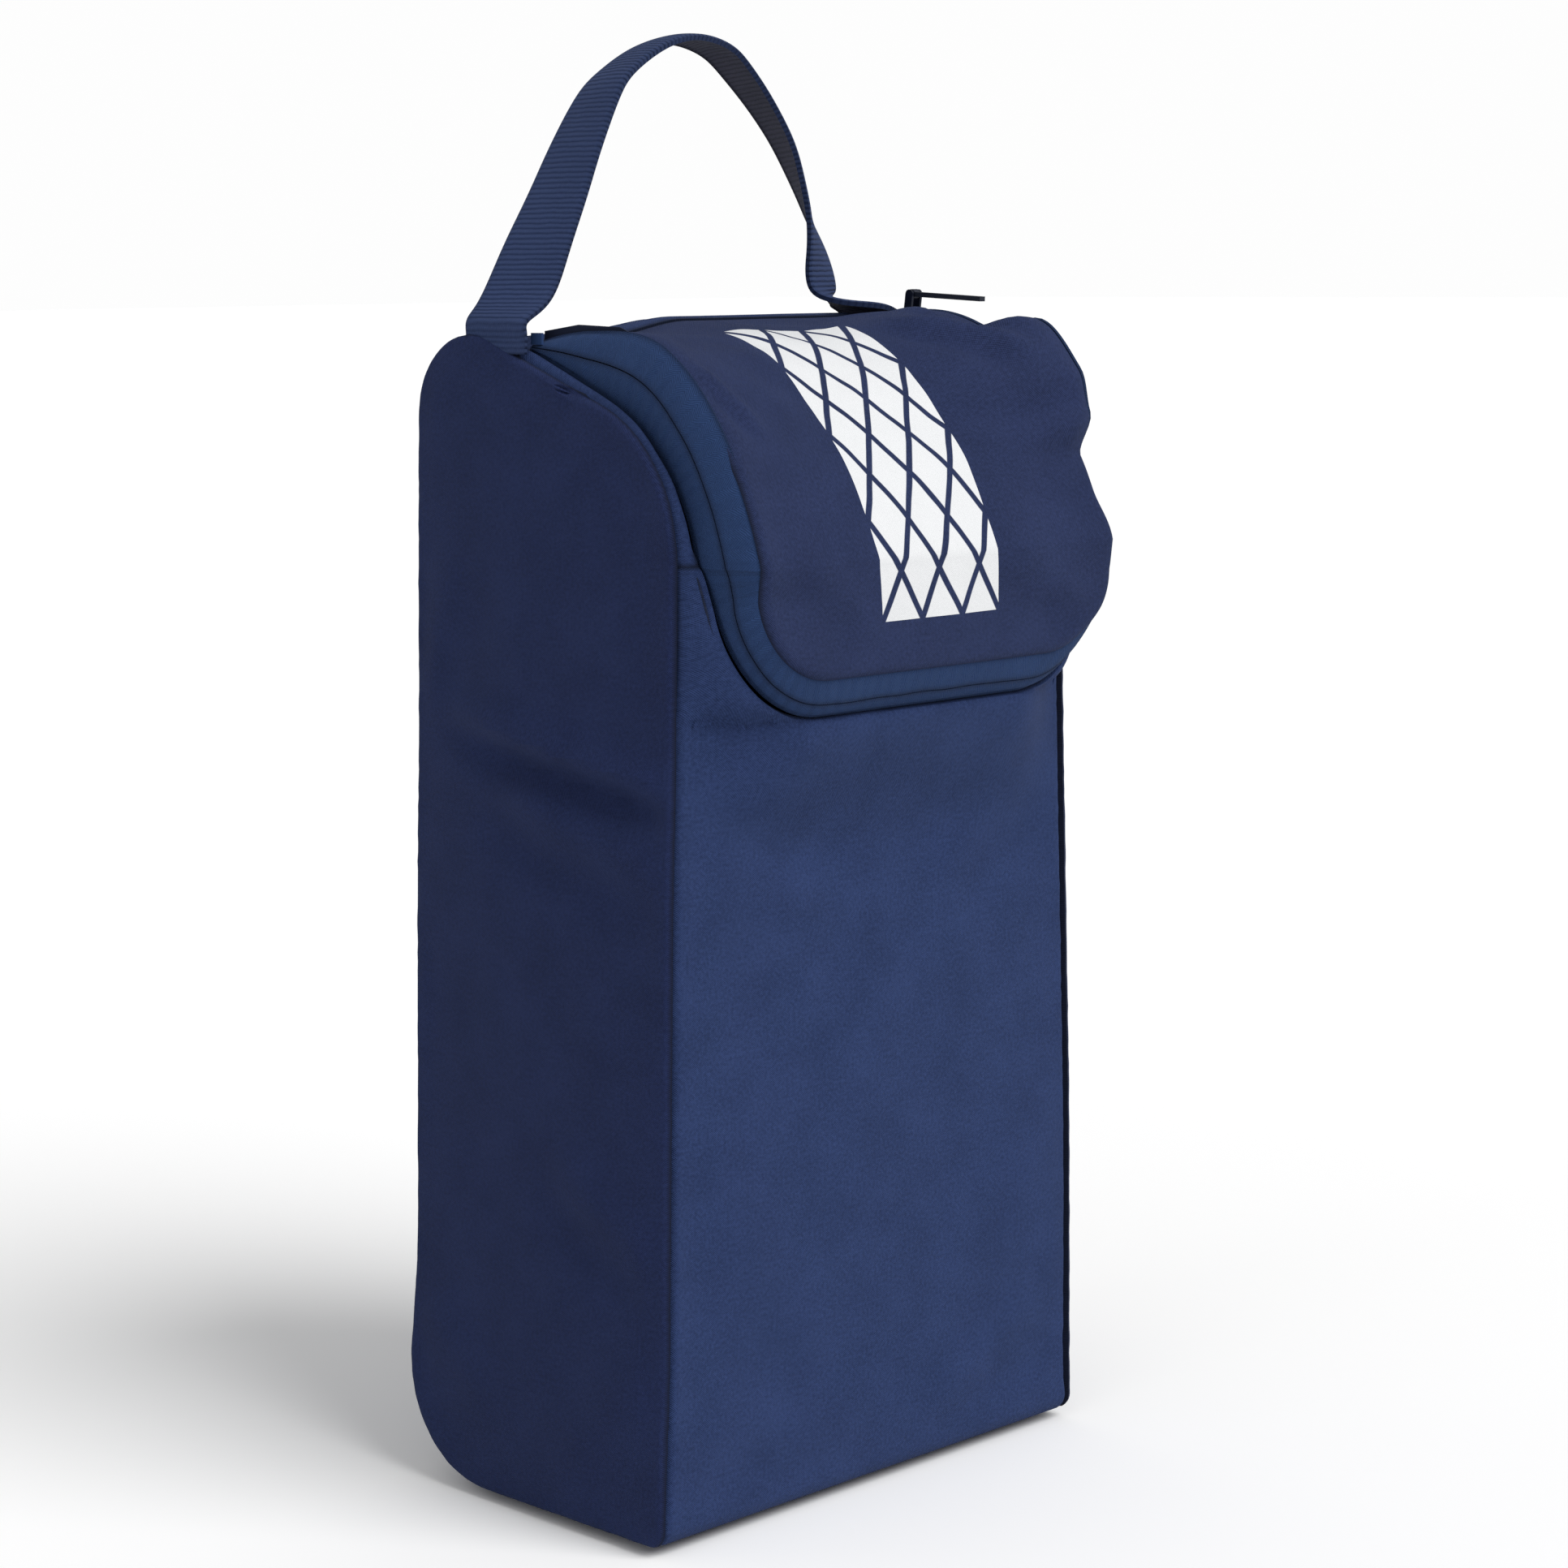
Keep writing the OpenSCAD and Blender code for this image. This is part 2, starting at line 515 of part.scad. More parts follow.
// Post and ears for the pull's pin
post_h = 5.2;
pin_y = slider_l / 4;
pin_z = slider_h / 2 + post_h;
ear_t = 0.9;
ear_d = pin_d + 2 * ear_t;
yoke_h = 2;
fork_w = pull_w + 2 * eye_gap;
module in_track() translate([0, slider_y, slider_z]) rotate([track_a, 0, 0]) children();
module slider_body() {
    color("dimgray") in_track() {
        // The plate, rounded at its corners
        translate([plate_x, 0, 0]) rotate([0, 90, 0]) linear_extrude(slider_t)
            hull() for (y = [-1, 1]) for (z = [-1, 1])
                translate([z * (slider_h / 2 - plate_corner_r), y * (slider_l / 2 - plate_corner_r)])
                    circle(plate_corner_r, $fn = 24);
        // The flange that turns in over the bag's half of the tape, clear of the lid
        translate([zip_out_x - flange_in, plate_corner_r - slider_l / 2, -slider_h / 2])
            cube([flange_in + plate_gap, slider_l - 2 * plate_corner_r, flange_t]);
        // The post that rises from the plate and carries the pin between two ears
        for (x = [plate_x, plate_x + ear_t + fork_w])
            translate([x, 0, 0]) hull() {
                translate([0, pin_y, pin_z]) rotate([0, 90, 0]) cylinder(d = ear_d, h = ear_t, $fn = 32);
                translate([0, pin_y - ear_d / 2, slider_h / 2 - yoke_h / 2])
                    cube([ear_t, ear_d, yoke_h / 2]);
            }
        translate([plate_x, pin_y - ear_d / 2, slider_h / 2 - yoke_h])
            cube([fork_w + 2 * ear_t, ear_d, yoke_h]);
        translate([plate_x, pin_y, pin_z]) rotate([0, 90, 0])
            cylinder(d = pin_d, h = fork_w + 2 * ear_t, $fn = 32);
    }
}
// The pull hangs on the pin by its eye and lies forward, its tip a little high
module pull_tab() {
    eye_r = pin_d / 2 + pin_gap;
    eye_wall = 0.9;
    tab_t = 1.6;
    tip_a = 3;
    color("silver") in_track()
        translate([plate_x + ear_t + eye_gap, pin_y, pin_z]) rotate([tip_a - track_a, 0, 0])
            difference() {
                union() {
                    rotate([0, 90, 0]) cylinder(r = eye_r + eye_wall, h = pull_w, $fn = 32);
                    translate([0, -pull_l, -tab_t / 2])
                        cube([pull_w, pull_l - eye_r - eye_wall / 2, tab_t]);
                }
                translate([-1, 0, 0]) rotate([0, 90, 0]) cylinder(r = eye_r, h = pull_w + 2, $fn = 32);
            }
}

front_panel();
back_panel();
left_side_panel();
right_side_panel();
base_panel();
left_shoulder_gusset();
right_shoulder_gusset();
left_seam_binding();
right_seam_binding();
base_seam_binding();
zip_tape_bag();
zip_coil_bag();
lid_panel();
lid_lining();
lid_seam_binding();
zip_tape_lid();
zip_coil_lid();
left_zip_end_tab();
right_zip_end_tab();
left_handle_root();
right_handle_root();
handle_webbing();
slider_body();
pull_tab();
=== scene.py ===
"""A zipped shoe bag: cloth body, hinged lid, zip, webbing handle and slider."""

import logging
import math
from bisect import bisect_right
from dataclasses import dataclass, field
from enum import Enum
from typing import Callable, Sequence, Union

import bpy
from mathutils import Matrix, Vector, noise
from mathutils.kdtree import KDTree


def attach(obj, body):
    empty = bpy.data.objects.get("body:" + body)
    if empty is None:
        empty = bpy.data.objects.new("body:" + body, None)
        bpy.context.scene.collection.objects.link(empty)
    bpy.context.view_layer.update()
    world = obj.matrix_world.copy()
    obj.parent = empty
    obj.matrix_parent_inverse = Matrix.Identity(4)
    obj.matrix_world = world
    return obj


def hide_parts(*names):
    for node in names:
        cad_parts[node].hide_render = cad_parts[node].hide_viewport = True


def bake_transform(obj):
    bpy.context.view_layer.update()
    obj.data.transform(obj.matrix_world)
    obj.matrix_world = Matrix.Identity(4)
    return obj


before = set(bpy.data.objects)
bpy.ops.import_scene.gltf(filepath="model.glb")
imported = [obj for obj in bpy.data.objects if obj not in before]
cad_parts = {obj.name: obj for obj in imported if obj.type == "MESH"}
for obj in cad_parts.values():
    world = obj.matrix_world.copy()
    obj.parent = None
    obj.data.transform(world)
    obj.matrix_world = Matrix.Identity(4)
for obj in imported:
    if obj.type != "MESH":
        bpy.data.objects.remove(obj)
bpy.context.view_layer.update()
LOG = logging.getLogger("shoe_bag")
MM = 0.001

Number = Union[float, "Signal"]
Colour = tuple[float, float, float]
Place = Callable[[float, float], tuple[Vector, tuple[float, float]]]


def ease(t: float) -> float:
    """Smooth step from 0 to 1."""
    u = min(1.0, max(0.0, t))
    return u * u * (3 - 2 * u)


def lerp(a: float, b: float, t: float) -> float:
    """Value a share of the way from a to b."""
    return a + (b - a) * t


def sind(a: float) -> float:
    """Sine of an angle in degrees."""
    return math.sin(math.radians(a))


def cosd(a: float) -> float:
    """Cosine of an angle in degrees."""
    return math.cos(math.radians(a))


def crowd(share: float, pull: float) -> float:
    """Share drawn towards the nearer end, so that cells are smaller beside the seams."""
    return lerp(share, 0.5 - 0.5 * cosd(180 * share), pull)


def table(stops: Sequence[tuple[float, float]], x: float) -> float:
    """Value read smoothly between stops.

    Args:
        stops: pairs of place and value, in rising order of place.
        x: the place to read at.

    Returns:
        The value, constant past either end.
    """
    if x <= stops[0][0]:
        return stops[0][1]
    for (x0, y0), (x1, y1) in zip(stops, stops[1:]):
        if x <= x1:
            return lerp(y0, y1, ease((x - x0) / (x1 - x0)))
    return stops[-1][1]


def soft_noise(x: float, y: float, z: float, size: float, seed: float = 0.0) -> float:
    """Smooth noise from -1 to 1 whose lumps are about `size` millimetres wide."""
    return noise.noise(Vector((x / size + seed, y / size - seed, z / size + 2 * seed)))


# --------------------------------------------------------------------------
# Finishes
# --------------------------------------------------------------------------


class Weave(Enum):
    """How a cloth's threads cross."""

    PLAIN = "plain"
    RIBBED = "ribbed"
    HERRINGBONE = "herringbone"


class Signal:
    """A shader value that takes part in ordinary sums."""

    def __init__(self, recipe: "Recipe", socket: bpy.types.NodeSocket) -> None:
        """Wraps one output socket of the recipe."""
        self.recipe = recipe
        self.socket = socket

    def _sum(self, operation: str, *values: Number) -> "Signal":
        """Result of one Math node on the values."""
        return self.recipe.node(
            "ShaderNodeMath", {"operation": operation}, dict(enumerate(values))
        )

    def __add__(self, other: Number) -> "Signal":
        """Sum."""
        return self._sum("ADD", self, other)

    __radd__ = __add__

    def __sub__(self, other: Number) -> "Signal":
        """Difference."""
        return self._sum("SUBTRACT", self, other)

    def __rsub__(self, other: Number) -> "Signal":
        """Difference, the other way round."""
        return self._sum("SUBTRACT", other, self)

    def __mul__(self, other: Number) -> "Signal":
        """Product."""
        return self._sum("MULTIPLY", self, other)

    __rmul__ = __mul__

    def __truediv__(self, other: Number) -> "Signal":
        """Quotient."""
        return self._sum("DIVIDE", self, other)

    def __lt__(self, other: Number) -> "Signal":
        """1 where this is less, otherwise 0."""
        return self._sum("LESS_THAN", self, other)

    def __gt__(self, other: Number) -> "Signal":
        """1 where this is more, otherwise 0."""
        return self._sum("GREATER_THAN", self, other)

    def __abs__(self) -> "Signal":
        """Size without its sign."""
        return self._sum("ABSOLUTE", self)

    def sine(self) -> "Signal":
        """Sine of an angle in radians."""
        return self._sum("SINE", self)

    def bounce(self, size: float) -> "Signal":
        """Triangle wave that climbs from 0 to `size` and back."""
        return self._sum("PINGPONG", self, size)

    def larger(self, other: Number) -> "Signal":
        """The larger of two."""
        return self._sum("MAXIMUM", self, other)

    def between(self, low: float, high: float) -> "Signal":
        """Smooth step from 0 at low to 1 at high."""
        return self.recipe.node(
            "ShaderNodeMapRange",
            {"interpolation_type": "SMOOTHSTEP", "clamp": True},
            {0: self, 1: low, 2: high, 3: 0.0, 4: 1.0},
        )


class Recipe:
    """One material under way."""

    def __init__(self, name: str) -> None:
        """Starts an empty material of this name."""
        self.material = bpy.data.materials.new(name)
        self.material.use_nodes = True
        self.tree = self.material.node_tree
        self.tree.nodes.clear()

    def node(
        self,
        kind: str,
        settings: dict[str, object],
        inputs: dict[Union[int, str], object],
        output: Union[int, str] = 0,
    ) -> Signal:
        """Adds a node.

        Args:
            kind: the node's type.
            settings: its properties, set before its sockets.
            inputs: a value or a signal for each socket, by place or name.
            output: which output to return.

        Returns:
            The chosen output.
        """
        made = self.tree.nodes.new(kind)
        for key, value in settings.items():
            setattr(made, key, value)
        for key, value in inputs.items():
            socket = made.inputs[key]
            if isinstance(value, Signal):
                self.tree.links.new(value.socket, socket)
            else:
                socket.default_value = value
        return Signal(self, made.outputs[output])

    def mix(self, share: Number, first: object, second: object) -> Signal:
        """Colour between two, or three numbers each."""
        colours = [(*c, 1.0) if isinstance(c, tuple) else c for c in (first, second)]
        return self.node(
            "ShaderNodeMix",
            {"data_type": "RGBA", "blend_type": "MIX", "clamp_factor": True},
            {0: share, 6: colours[0], 7: colours[1]},
            2,
        )

    def spot(self, where: Signal, size: float, detail: float = 2.0) -> Signal:
        """Noise from 0 to 1 with lumps of a size in metres."""
        return self.node(
            "ShaderNodeTexNoise",
            {"noise_dimensions": "3D"},
            {"Vector": where, "Scale": 1.0 / size, "Detail": detail, "Roughness": 0.55},
        )

    def bump(self, height: Signal, depth: float) -> Signal:
        """Surface normal roughened by a height from 0 to 1 times a depth in metres."""
        return self.node("ShaderNodeBump", {}, {"Strength": 1.0, "Distance": depth, "Height": height})

    def across(self) -> tuple[Signal, Signal, Signal]:
        """The cloth's own map: its vector and its two distances, in metres."""
        where = self.node("ShaderNodeUVMap", {"uv_map": "cloth"}, {})
        parts = self.node("ShaderNodeSeparateXYZ", {}, {0: where})
        outputs = parts.socket.node.outputs
        return where, Signal(self, outputs[0]), Signal(self, outputs[1])

    def solid(self) -> Signal:
        """Place on the object, in metres."""
        return self.node("ShaderNodeTexCoord", {}, {}, "Object")

    def surface(self, **inputs: object) -> bpy.types.Material:
        """Ends the material in a plain shader with these sockets."""
        named = {key.replace("_", " "): value for key, value in inputs.items()}
        return self.ended(self.node("ShaderNodeBsdfPrincipled", {}, named))

    def matt(self, colour: Signal) -> bpy.types.Material:
        """Ends the material in a dull even surface of this colour."""
        return self.ended(self.node("ShaderNodeBsdfDiffuse", {}, {"Color": colour}))

    def ended(self, shader: Signal) -> bpy.types.Material:
        """Joins the shader to the material's output."""
        out = self.tree.nodes.new("ShaderNodeOutputMaterial")
        self.tree.links.new(shader.socket, out.inputs["Surface"])
        return self.material


@dataclass(frozen=True)
class Cloth:
    """Woven polyester, with an optional printed band."""

    name: str
    colour: Colour
    light: Colour
    pitch: float = 0.00062
    depth: float = 0.00026
    weave: Weave = Weave.PLAIN
    # strength of the cloth's uneven tone and of the painted shade in the weave's hollows
    mottle_and_weave_shade: float = 1.9
    roughness: float = 0.8
    sheen: float = 0.05
    # how strongly painted shade darkens the cloth along its sewn edges
    seam_painted_shade: float = 0.85
    printed: bool = False

    def threads(self, recipe: Recipe, u: Signal, v: Signal, drift: Signal) -> Signal:
        """Height of the crossing threads.

        Args:
            recipe: the material under way.
            u: distance across the cloth.
            v: distance along the cloth.
            drift: slow noise that keeps the rows from running dead straight.

        Returns:
            A height from 0 to 1.
        """
        wander = (drift - 0.5) * (self.pitch * 1.4)
        turn = 2 * math.pi / self.pitch
        if self.weave is Weave.RIBBED:
            rib = abs(((v + wander * 0.3) * (math.pi / self.pitch)).sine())
            fibre = ((u + v * 0.35) * (turn * 2.6)).sine() * 0.5 + 0.5
            return rib * 0.8 + fibre * rib * 0.2
        if self.weave is Weave.HERRINGBONE:
            lean = (u + wander).bounce(self.pitch * 4)
            return ((v + lean + wander) * turn).sine() * 0.5 + 0.5
        crossing = ((u + wander) * turn).sine() * ((v + wander) * turn).sine()
        return crossing * 0.5 + 0.5

    def print_mask(self, u: Signal, v: Signal) -> Signal:
        """1 on the printed lozenges, which run in one band along the lid's middle."""
        across, along = LOZENGE
        cell_u = (u + across * 16.5).bounce(across / 2) / across
        cell_v = (v + along * 16).bounce(along / 2) / along
        other_u = (u + across * 16).bounce(across / 2) / across
        other_v = (v + along * 16.5).bounce(along / 2) / along
        small = 0.425
        first = (cell_u + cell_v).between(small + 0.012, small - 0.012)
        second = (other_u + other_v).between(small + 0.012, small - 0.012)
        inside = (abs(u) < PRINT_HALF_W) * (v > PRINT_LOW * MM) * (v < PRINT_HIGH * MM)
        return first.larger(second) * inside

    def make(self) -> bpy.types.Material:
        """The finished material."""
        recipe = Recipe(self.name)
        where, u, v = recipe.across()
        drift = recipe.spot(where, 0.006)
        height = self.threads(recipe, u, v, drift)
        slub = recipe.spot(where, 0.0011, 3.0)
        cloud = recipe.spot(where, 0.021, 2.0)
        shade = (slub - 0.5) * self.mottle_and_weave_shade + (cloud - 0.5) * (self.mottle_and_weave_shade * 0.45)
        # the threads' height also colours the cloth, lighter on raised threads and darker in the
        # hollows between them: painted shade of the weave. The slub and cloud noise above are the
        # cloth's own uneven tone
        shade = shade + (height - 0.5) * (self.mottle_and_weave_shade * 0.5) + 0.5
        dark = tuple(c * 0.72 for c in self.colour)
        colour = recipe.mix(shade.between(-0.1, 1.1), dark, self.light)
        # painted shade: the cloth is darkened towards near-black navy along every sewn edge, standing
        # in for the shadow in the seams' grooves
        seam = recipe.node("ShaderNodeAttribute", {"attribute_name": SEAM_SHADE}, {}, "Fac")
        colour = recipe.mix(seam * self.seam_painted_shade, colour, (0.006, 0.008, 0.017))
        rough = (slub - 0.5) * 0.12 + self.roughness
        if self.printed:
            mask = self.print_mask(u, v)
            worn = mask * (0.965 + (height - 0.5) * 0.05 + (slub - 0.5) * 0.03)
            colour = recipe.mix(worn, colour, (0.86, 0.87, 0.88))
            rough = rough - mask * 0.22
            height = height * (1 - mask * 0.6) + mask * 0.25
        relief = height * 0.75 + slub * 0.25
        return recipe.surface(
            Base_Color=colour,
            Roughness=rough,
            Normal=recipe.bump(relief, self.depth),
            Sheen_Weight=self.sheen,
            Sheen_Roughness=0.5,
            Sheen_Tint=(0.4, 0.55, 1.0, 1.0),
            Specular_IOR_Level=0.14,
        )


@dataclass(frozen=True)
class Lacquer:
    """Painted metal with worn edges and fine dimples."""

    name: str
    colour: Colour
    bare: Colour
    roughness: float = 0.38
    metallic: float = 0.6

    def make(self) -> bpy.types.Material:
        """The finished material."""
        recipe = Recipe(self.name)
        where = recipe.solid()
        fine = recipe.spot(where, 0.0006, 3.0)
        broad = recipe.spot(where, 0.004, 2.0)
        scuff = (fine * 0.6 + broad * 0.4).between(0.6, 0.72)
        return recipe.surface(
            Base_Color=recipe.mix(scuff * 0.5, self.colour, self.bare),
            Roughness=(fine - 0.5) * 0.2 + self.roughness,
            Metallic=self.metallic,
            Normal=recipe.bump(fine, 0.00003),
        )


@dataclass(frozen=True)
class Nylon:
    """Moulded nylon of the zip's coil."""

    name: str
    colour: Colour
    roughness: float = 0.45

    def make(self) -> bpy.types.Material:
        """The finished material."""
        recipe = Recipe(self.name)
        grain = recipe.spot(recipe.solid(), 0.0005, 2.0)
        light = tuple(min(1.0, c * 1.5) for c in self.colour)
        return recipe.surface(
            Base_Color=recipe.mix(grain, self.colour, light),
            Roughness=(grain - 0.5) * 0.2 + self.roughness,
            Normal=recipe.bump(grain, 0.00002),
        )


# name of the point weight that paints shade along the seams
SEAM_SHADE = "seam"
LOZENGE = (0.018, 0.030)
PRINT_HALF_W = 0.0271
PRINT_LOW, PRINT_HIGH = 285.0, 405.0

NAVY = (0.0225, 0.0430, 0.132)
NAVY_LIGHT = (0.036, 0.063, 0.180)


class Finishes:
    """Every material of the bag, each made once."""

    def __init__(self) -> None:
        """Mixes the materials."""
        self.shell = Cloth("shell_cloth", NAVY, NAVY_LIGHT).make()
        # painted shade: the sides and the base use a darker copy of the navy shell cloth, standing in
        # for the shade on faces turned away from the key light
        self.side = Cloth("side_cloth", (0.0145, 0.0245, 0.088), (0.021, 0.034, 0.112)).make()
        self.lid = Cloth(
            "lid_cloth", (0.0205, 0.0325, 0.096), (0.030, 0.045, 0.126), printed=True
        ).make()
        self.backing = Cloth(
            "cloth_backing", (0.020, 0.030, 0.070), (0.028, 0.040, 0.088), roughness=0.5, sheen=0.05
        ).make()
        self.lining = Cloth(
            "lining", (0.030, 0.038, 0.070), (0.044, 0.052, 0.090), pitch=0.0005, depth=0.0001
        ).make()
        self.tape = Cloth(
            "zip_tape",
            (0.022, 0.052, 0.150),
            (0.032, 0.070, 0.190),
            pitch=0.0009,
            seam_painted_shade=0.55,
            weave=Weave.HERRINGBONE,
            mottle_and_weave_shade=0.7,
        ).make()
        self.webbing = Cloth(
            "webbing",
            (0.022, 0.041, 0.118),
            (0.046, 0.072, 0.176),
            pitch=0.0018,
            depth=0.0008,
            weave=Weave.RIBBED,
            mottle_and_weave_shade=0.5,
            seam_painted_shade=0.3,
        ).make()
        # painted shade: the webbing's inner face is a darker, greyer copy of the webbing, standing in
        # for the shadow on the handle's inner side
        self.webbing_back_painted_shade = Cloth(
            "webbing_back_painted_shade",
            (0.024, 0.024, 0.042),
            (0.040, 0.038, 0.062),
            pitch=0.0018,
            depth=0.0005,
            weave=Weave.RIBBED,
        ).make()
        self.binding = Cloth(
            "binding", (0.016, 0.022, 0.050), (0.026, 0.034, 0.066), pitch=0.0011,
            weave=Weave.RIBBED,
        ).make()
        self.coil = Nylon("zip_coil", (0.012, 0.020, 0.046)).make()
        self.slider = Lacquer("slider_metal", (0.012, 0.016, 0.034), (0.09, 0.10, 0.14)).make()
        self.pull = Lacquer(
            "pull", (0.010, 0.014, 0.030), (0.05, 0.06, 0.09), 0.55, 0.1
        ).make()


# --------------------------------------------------------------------------
# Shape of the bag
# --------------------------------------------------------------------------


@dataclass(frozen=True)
class BagForm:
    """Sizes and surfaces that the bag's panels share, in millimetres."""

    base_w: float = 191.0
    top_w: float = 171.0
    depth: float = 118.0
    height: float = 372.0
    shoulder_z: float = 304.0
    shoulder_r: float = 50.0
    crown_r: float = 24.0
    foot_back_r: float = 38.0
    foot_front_r: float = 6.0
    seam_lift: float = 5.0
    side_belly: float = 4.0
    front_belly: float = 3.5
    back_belly: float = 3.0
    crown_rise: float = 9.5
    cloth_t: float = 2.0
    tape_t: float = 1.4
    sew_gap: float = 0.25
    mouth_z: float = 257.0
    mouth_half_w: float = 80.0
    mouth_corner_r: float = 35.0
    mouth_flare: float = 19.0
    flare_h: float = 48.0
    lid_z: float = 269.0
    lid_half_w: float = 77.0
    lid_corner_r: float = 28.0
    lid_front: float = 76.5
    lid_lean: float = 2.5
    lid_brow: float = 65.5
    lid_back: float = 71.0
    lid_edge_lift: float = 8.5
    hinge_y: float = 14.5
    tape_end_q: float = 110.6
    slope: float = 20.302
    pole: tuple[float, float] = (-9.0, 304.0)
    crown: tuple[float, float] = (35.0, 348.0)
    foot_back: tuple[float, float] = (21.0, 43.0)
    foot_front: tuple[float, float] = (-53.0, 11.0)
    lid_puff: tuple[tuple[float, float], ...] = (
        (-30.0, -1.0), (-14.0, 0.0), (0.0, 0.0), (12.0, -2.0), (22.0, -2.2), (31.0, 7.0),
        (41.0, 11.5), (52.0, 12.5), (65.0, 9.5), (76.0, 6.5), (86.0, 2.6), (96.0, -0.4), (104.0, -1.0),
    )
    lid_spread: tuple[tuple[float, float], ...] = (
        (-36.0, 2.5), (-20.0, 6.0), (2.0, 6.0), (14.0, 4.5), (22.0, 4.5), (34.0, 7.0),
        (54.0, 6.5), (62.0, 3.0), (69.0, 0.0),
    )
    left_sink: tuple[tuple[float, float], ...] = ((60.0, 0.0), (88.0, -4.4), (113.0, -4.6))

    @property
    def back_q(self) -> float:
        """Station of the lid's back edge."""
        return 90 + self.hinge_y - 0.4 - self.pole[0]

    def half_w(self, z: float) -> float:
        """Half the bag's width at a height."""
        return (self.base_w + (self.top_w - self.base_w) * z / self.height) / 2

    def wrap_half_w(self, z: float) -> float:
        """Half the width of the panels between the two sides."""
        return self.half_w(z) - self.cloth_t - self.sew_gap

    def place(self, q: float, x: float, reach: float) -> Vector:
        """Point at a station up the front and over the top.

        Args:
            q: below 0 millimetres under the shoulder's middle, then degrees round it, and
                past 90 millimetres behind it.
            x: distance across.
            reach: distance out from the shoulder's middle.

        Returns:
            The point.
        """
        y, z = self.pole
        if q < 0:
            return Vector((x, y - reach, z + q))
        if q <= 90:
            return Vector((x, y - reach * cosd(q), z + reach * sind(q)))
        return Vector((x, y + q - 90, z + reach))

    def run(self, q: float) -> float:
        """Length of cloth up to a station, measured from the floor."""
        if q < 0:
            return self.shoulder_z + q
        return self.shoulder_z + math.radians(min(q, 90)) * 70 + max(0.0, q - 90)

    def seam_reach(self, q: float) -> float:
        """Reach of the side seam."""
        tangent_q = 90 - self.slope
        if q < tangent_q:
            return self.shoulder_r
        if q <= 90:
            return self.shoulder_r / cosd(q - tangent_q)
        return self.shoulder_r / cosd(self.slope) + (q - 90) * math.tan(math.radians(self.slope))

    def mouth_rise(self, q: float) -> float:
        """How far the mouth's edge stands above the side seam."""
        if q < 0:
            share = min(1.0, -q / (self.shoulder_z - self.mouth_z))
            return lerp(3.4, self.mouth_flare, share**0.7)
        if q < 40:
            return 0.6 + 2.8 * (1 - q / 40) ** 2
        return 0.6 + 3.9 * ease((q - 40) / 70)

    def mouth_half_at(self, z: float) -> float:
        """Half the width of the mouth at a height."""
        r = self.mouth_corner_r
        drop = r - min(r, max(0.0, z - self.mouth_z))
        return self.mouth_half_w - r + math.sqrt(max(0.0, r**2 - drop**2))

    def body_reach(self, q: float, x: float) -> float:
        """Reach of the body beside the mouth."""
        z = self.place(q, 0, self.seam_reach(q)).z
        climb = max(6.0, self.half_w(z) - self.cloth_t - self.mouth_half_at(z))
        t = min(1.0, max(0.0, (self.half_w(z) - self.cloth_t - abs(x)) / climb))
        soft = min(1.0, (climb - 6) / self.mouth_corner_r)
        return self.seam_reach(q) + self.mouth_rise(q) * lerp(sind(90 * t), ease(t), soft)

    def lid_reach(self, q: float, x: float) -> float:
        """Reach of the lid's outer face, with its fuller right side."""
        if q < 0:
            middle = self.lid_front - self.lid_lean * q / (self.shoulder_z - self.lid_z)
        elif q < 40:
            middle = self.lid_brow + (self.lid_front - self.lid_brow) * (1 - q / 40) ** 2
        else:
            share = ease((q - 40) / (self.back_q - 40))
            middle = self.lid_brow + (self.lid_back - self.lid_brow) * share
        lift = 0.0
        if q >= -10:
            lift = max(0.0, self.lid_edge_lift * sind(180 * (q + 10) / (self.back_q + 14)))
        puff = table(self.lid_puff, q) * ease((x - 22) / 46)
        puff *= 1 - ease((q - 56) / 11) * ease((x - 50) / 14)
        sink = table(self.left_sink, q) * ease((-x - 12) / 34)
        return middle + lift * (x / self.lid_half_w) ** 2 + puff + sink

    def lid_place(self, q: float, x: float, reach: float) -> Vector:
        """Point of the lid, whose right side stands wider than its left."""
        return self.place(q, x + table(self.lid_spread, q) * ease((x - 26) / 50), reach)

    def settled(self, point: Vector) -> Vector:
        """Point of the body once the cloth has filled out and sunk on its foot."""
        if point.x < 0:
            wide = 0.7 + 0.8 * (1 - ease((point.z - 190) / 60)) + 1.8 * (1 - ease(point.z / 70))
        else:
            wide = 2.4 * (1 - ease((point.z - 300) / 40)) * (0.2 + 0.8 * ease(point.z / 120))
        sag = 2.4 * (1 - ease(point.z / 60))
        heel = 3.2 * ease((point.y - 6) / 40) * (1 - ease((point.z - 30) / 60))
        x = point.x + math.copysign(wide * ease(abs(point.x) / 70), point.x)
        y = point.y + 0.8 * ease((point.y - 20) / 36) * (1 - ease((point.z - 330) / 40)) + heel
        return Vector((x, y, max(0.15, point.z - sag)))

    def front_y(self, x: float, z: float) -> float:
        """Depth of the front panel's outer face."""
        rise = min(1.0, max(0.0, (z - self.foot_front[1]) / (self.mouth_z - self.foot_front[1])))
        belly = self.front_belly * sind(180 * rise) * (1 - (x / self.half_w(z)) ** 2)
        if z < self.mouth_z:
            swell = ease((z - self.mouth_z + self.flare_h) / self.flare_h)
            out = swell * (self.body_reach(self.mouth_z - self.shoulder_z, x) - self.shoulder_r)
        else:
            out = self.body_reach(z - self.shoulder_z, x) - self.shoulder_r
        return self.pole[0] - self.shoulder_r - belly - out

